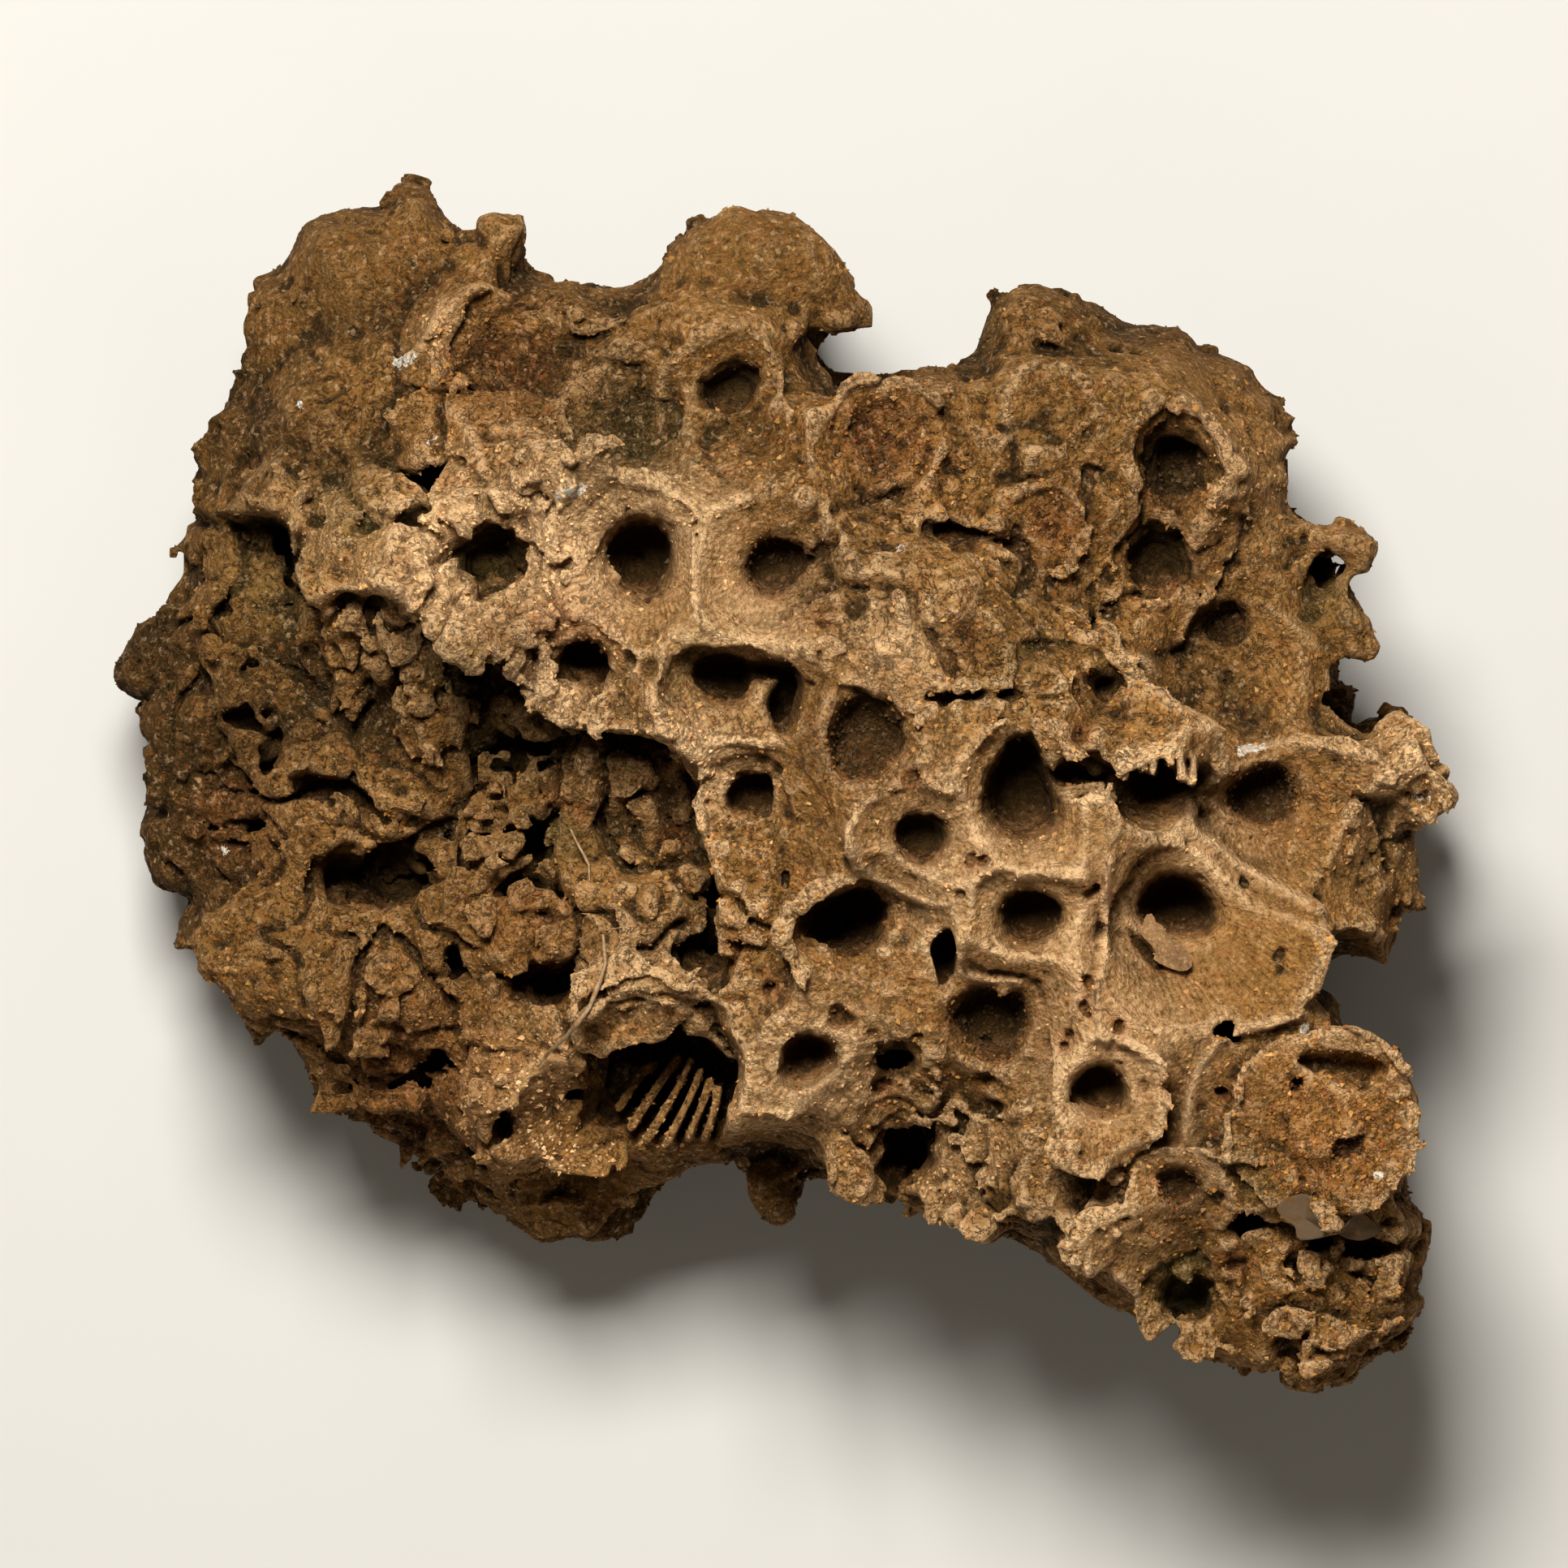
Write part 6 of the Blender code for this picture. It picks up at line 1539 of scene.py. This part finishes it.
def granule_material():
    """The stone's own colours, one to each granule, and painted darker in hollows as shade, as the stone is.
    """
    look = Look("crust_granules")
    tint, speckle, gloom = look.attribute("tint"), look.noise("granule"), look.attribute("gloom")
    pale = look.plus(look.attribute("pale"), look.ramp(tint, "granule pale"))
    colour = BROWN
    for share, layer in (
        (look.ramp(tint, "granule ochre"), OCHRE),
        (look.ramp(tint, "granule tan"), TAN),
        (look.least(look.times(pale, GRANULE_PALE_SHARE), GRANULE_PALE_MOST), PALE),
        (look.ramp(tint, "granule rust"), RUST),
        # Painted shade, taken from the stone
        (look.least(look.times(gloom, look.ramp(tint, "granule gloom")), PAINTED_SHADE_MOST), DARK),
        (look.attribute("green"), OLIVE),
        (look.ramp(speckle, "granule speckle"), DARK),
    ):
        colour = look.mix(share, colour, layer)
    return look.finish(Base_Color=colour, Roughness=0.9, Specular_IOR_Level=0.1)


def chip_material():
    look = Look("pale_chip_skin")
    cloud, speckle = look.noise("chip cloud"), look.noise("chip speckle")
    colour = look.mix(look.ramp(cloud, "chip pale"), CHIP_DARK, CHIP_PALE)
    colour = look.mix(look.ramp(speckle, "chip light"), colour, PALE)
    colour = look.mix(look.ramp(speckle, "chip dots"), colour, DARK)
    return look.finish(Base_Color=colour, Roughness=0.85, Normal=look.bump(speckle, 0.8, 0.15))


def film_material():
    look = Look("dried_film_skin")
    cloud = look.noise("film cloud")
    colour = look.mix(look.ramp(cloud, "film brown"), FILM, BROWN)
    return look.finish(
        Base_Color=colour, Alpha=look.ramp(cloud, "film alpha"), Roughness=0.75, Specular_IOR_Level=0.05)


def fibre_material():
    look = Look("root_fibre_bark")
    streak = look.noise("bark streak")
    colour = look.mix(look.ramp(streak, "bark pale"), BROWN, FIBRE)
    return look.finish(Base_Color=colour, Roughness=0.6, Normal=look.bump(streak, 0.5, 0.05))


def floor_material():
    look = Look("floor_paper")
    return look.finish(Base_Color=look.mix(look.noise("paper"), FLOOR_COLOUR, FLOOR_SHADE), Roughness=0.9)


def build_grains(stone):
    """Crystals where the stone has crystal spots, and a crust of granules over the rest of its upper side."""
    _, _, normals, masks = stone
    masks["gloom"] = stone_gloom(masks)
    weight = GRAIN_SPREAD + masks["crystal"] ** 2 + GRAIN_RED * masks["red"] ** 2
    scatter("crystal_grains", stone, weight, grain_material(), *GRAINS)
    weight = np.clip(GRANULE_ROUGH * masks["rough"] - GRANULE_CALM, *GRANULE_SHARES)
    weight = weight + GRANULE_PALE * masks["pale"]
    weight = weight * (1.0 - masks["pit"]) * np.clip(GRANULE_LEVEL + normals[:, 2], GRANULE_LEAST, 1.0)
    scatter("crust_granules", stone, weight, granule_material(), *GRANULES)


def height_along(block, path):
    """Height of the stone under each place of a path, in mm."""
    heights = []
    for x, y in path:
        column = block.distance[
            int(round((x - BLOCK_LOW[0]) / block.step)), int(round((y - BLOCK_LOW[1]) / block.step))
        ]
        heights.append(BLOCK_LOW[2] + np.nonzero(column < 0.0)[0].max() * block.step)
    return np.array(heights)


def resample(places, count):
    """Evenly spaced points in plan along a line through places given in pixels."""
    corners = np.array([to_plan(place) for place in places])
    along = np.concatenate([[0.0], np.cumsum(np.linalg.norm(np.diff(corners, axis=0), axis=1))])
    at = np.linspace(0.0, along[-1], count)
    return np.column_stack([np.interp(at, along, corners[:, k]) for k in range(2)])


def slid_window(values, reach, pick):
    """The pick of the values within reach of each one, such as the largest or the mean of them."""
    padded = np.pad(values, reach, mode="edge")
    return np.array([pick(padded[k:k + 2 * reach + 1]) for k in range(len(values))])


def strip(a, b, step):
    """Two triangles between a pair of points and the pair this many numbers further on."""
    return [(a, a + step, b + step), (a, b + step, b)]


def build_fibre(name, block, places, radius, material):
    """A root hair that lies over the stone and bridges its dips, thinner at its ends."""
    count, sides = FIBRE_POINTS, FIBRE_SIDES
    path = resample(places, count)
    bridged = slid_window(height_along(block, path), FIBRE_BRIDGE, np.max)
    line = np.column_stack([path, slid_window(bridged, FIBRE_BRIDGE, np.mean) + FIBRE_LIFT * radius])
    ahead = np.gradient(line, axis=0)
    ahead /= np.linalg.norm(ahead, axis=1, keepdims=True)
    side = np.cross(ahead, (0.0, 0.0, 1.0))
    side /= np.linalg.norm(side, axis=1, keepdims=True)
    up = np.cross(side, ahead)
    share = np.linspace(0.0, 1.0, count)
    swell = np.sin(math.pi * np.clip(share, FIBRE_TIP, 1.0 - FIBRE_TIP)) ** FIBRE_SWELL
    thick = radius * (FIBRE_END + (1.0 - FIBRE_END) * swell)
    thick = thick * (1.0 + FIBRE_KNOT * np.sin(FIBRE_KNOTS * share))
    turn = 2.0 * math.pi * np.arange(sides) / sides
    ring = side[:, None] * np.cos(turn)[None, :, None] + up[:, None] * np.sin(turn)[None, :, None]
    points = (line[:, None] + ring * thick[:, None, None]).reshape(-1, 3)
    points = np.concatenate([points, line[[0, -1]]])
    last = (count - 1) * sides
    faces = []
    for j in range(sides):
        after = (j + 1) % sides
        for k in range(0, last, sides):
            faces += strip(k + j, k + after, sides)
        faces += [(j, after, count * sides), (last + after, last + j, count * sides + 1)]
    thing = new_object(name, points, faces)
    thing.data.shade_smooth()
    finish_piece(thing, material)


def build_film(name, block, places, material):
    """A thin dried skin that spans dips of the stone and sags a little."""
    edge = curve(places)
    height = height_along(block, edge)
    height = np.maximum(height, np.median(height))
    for _ in range(FILM_SMOOTHINGS):
        height = (np.roll(height, 1) + 2.0 * height + np.roll(height, -1)) / 4.0
    rim = np.column_stack([edge, height + FILM_LIFT])
    count = len(rim)
    middle = rim.mean(axis=0)
    layers = [middle[None]]
    for k in range(1, FILM_RINGS + 1):
        share = k / FILM_RINGS
        ring = middle + share * (rim - middle)
        ring[:, 2] += FILM_RIPPLE * np.sin(FILM_RIPPLES * ring[:, 0]) - FILM_SAG * (1.0 - share**2)
        layers.append(ring)
    top = np.concatenate(layers)
    top[0, 2] -= FILM_SAG
    points = np.concatenate([top, top - (0.0, 0.0, FILM_THICK)])
    last = 1 + (FILM_RINGS - 1) * count
    faces, sides = [], []
    for j in range(count):
        after = (j + 1) % count
        faces.append((0, 1 + j, 1 + after))
        for k in range(1, last, count):
            faces += strip(k + j, k + after, count)
        sides += strip(last + j, last + after, len(top))
    under = [tuple(len(top) + corner for corner in reversed(face)) for face in faces]
    thing = new_object(name, points, faces + under + sides)
    thing.data.shade_smooth()
    finish_piece(thing, material)


def build_stage():
    """A plain pale floor under the cut face."""
    half = FLOOR_SIZE / 2.0
    corners = [(-half, -half, 0.0), (half, -half, 0.0), (half, half, 0.0), (-half, half, 0.0)]
    floor = new_object("floor", corners, [(0, 1, 2, 3)])
    floor.data.materials.append(floor_material())


def add_light(name, place, size, energy, colour):
    """A square lamp that looks at the middle of the crest."""
    lamp = bpy.data.lights.new(name, "AREA")
    lamp.size, lamp.energy, lamp.color = size * METRES, energy, colour
    thing = bpy.data.objects.new(name, lamp)
    bpy.context.scene.collection.objects.link(thing)
    thing.location = Vector(place) * METRES
    thing.rotation_euler = (Vector((0.0, 0.0, CREST)) - Vector(place)).to_track_quat("-Z", "Y").to_euler()


def build_lights():
    add_light("key", *KEY)
    add_light("fill", *FILL)
    world = bpy.data.worlds.new("studio")
    world.use_nodes = True
    background = world.node_tree.nodes["Background"]
    background.inputs["Color"].default_value = WORLD_COLOUR
    background.inputs["Strength"].default_value = WORLD_STRENGTH
    bpy.context.scene.world = world
    bpy.context.scene.view_settings.view_transform = "Standard"


def build_camera():
    """Straight down, from far off, on the part of the plane at the crest that the photograph spans."""
    camera = bpy.data.cameras.new("camera")
    camera.lens = camera.sensor_width * CAMERA_RISE / (IMAGE_PX * MM_PER_PX)
    camera.clip_start, camera.clip_end = CAMERA_CLIP
    thing = bpy.data.objects.new("camera", camera)
    bpy.context.scene.collection.objects.link(thing)
    across, along = to_plan((IMAGE_PX / 2.0, IMAGE_PX / 2.0))
    thing.location = Vector((across, along, CREST + CAMERA_RISE)) * METRES
    bpy.context.scene.camera = thing


def main():
    build_camera()
    build_lights()
    build_stage()
    block = coral_block(STEP)
    stone = build_coral(block, stone_material())
    build_grains(stone)
    bark = fibre_material()
    build_fibre("root_fibre", block, ROOT, ROOT_RADIUS, bark)
    build_fibre("short_hair", block, HAIR, HAIR_RADIUS, bark)
    build_fibre("long_hair", block, LONG_HAIR, LONG_HAIR_RADIUS, bark)
    skin = film_material()
    build_film("film_west", block, FILM_WEST, skin)
    build_film("film_east", block, FILM_EAST, skin)
    bpy.data.objects["loose_flake"].material_slots[0].material = chip_material()


main()
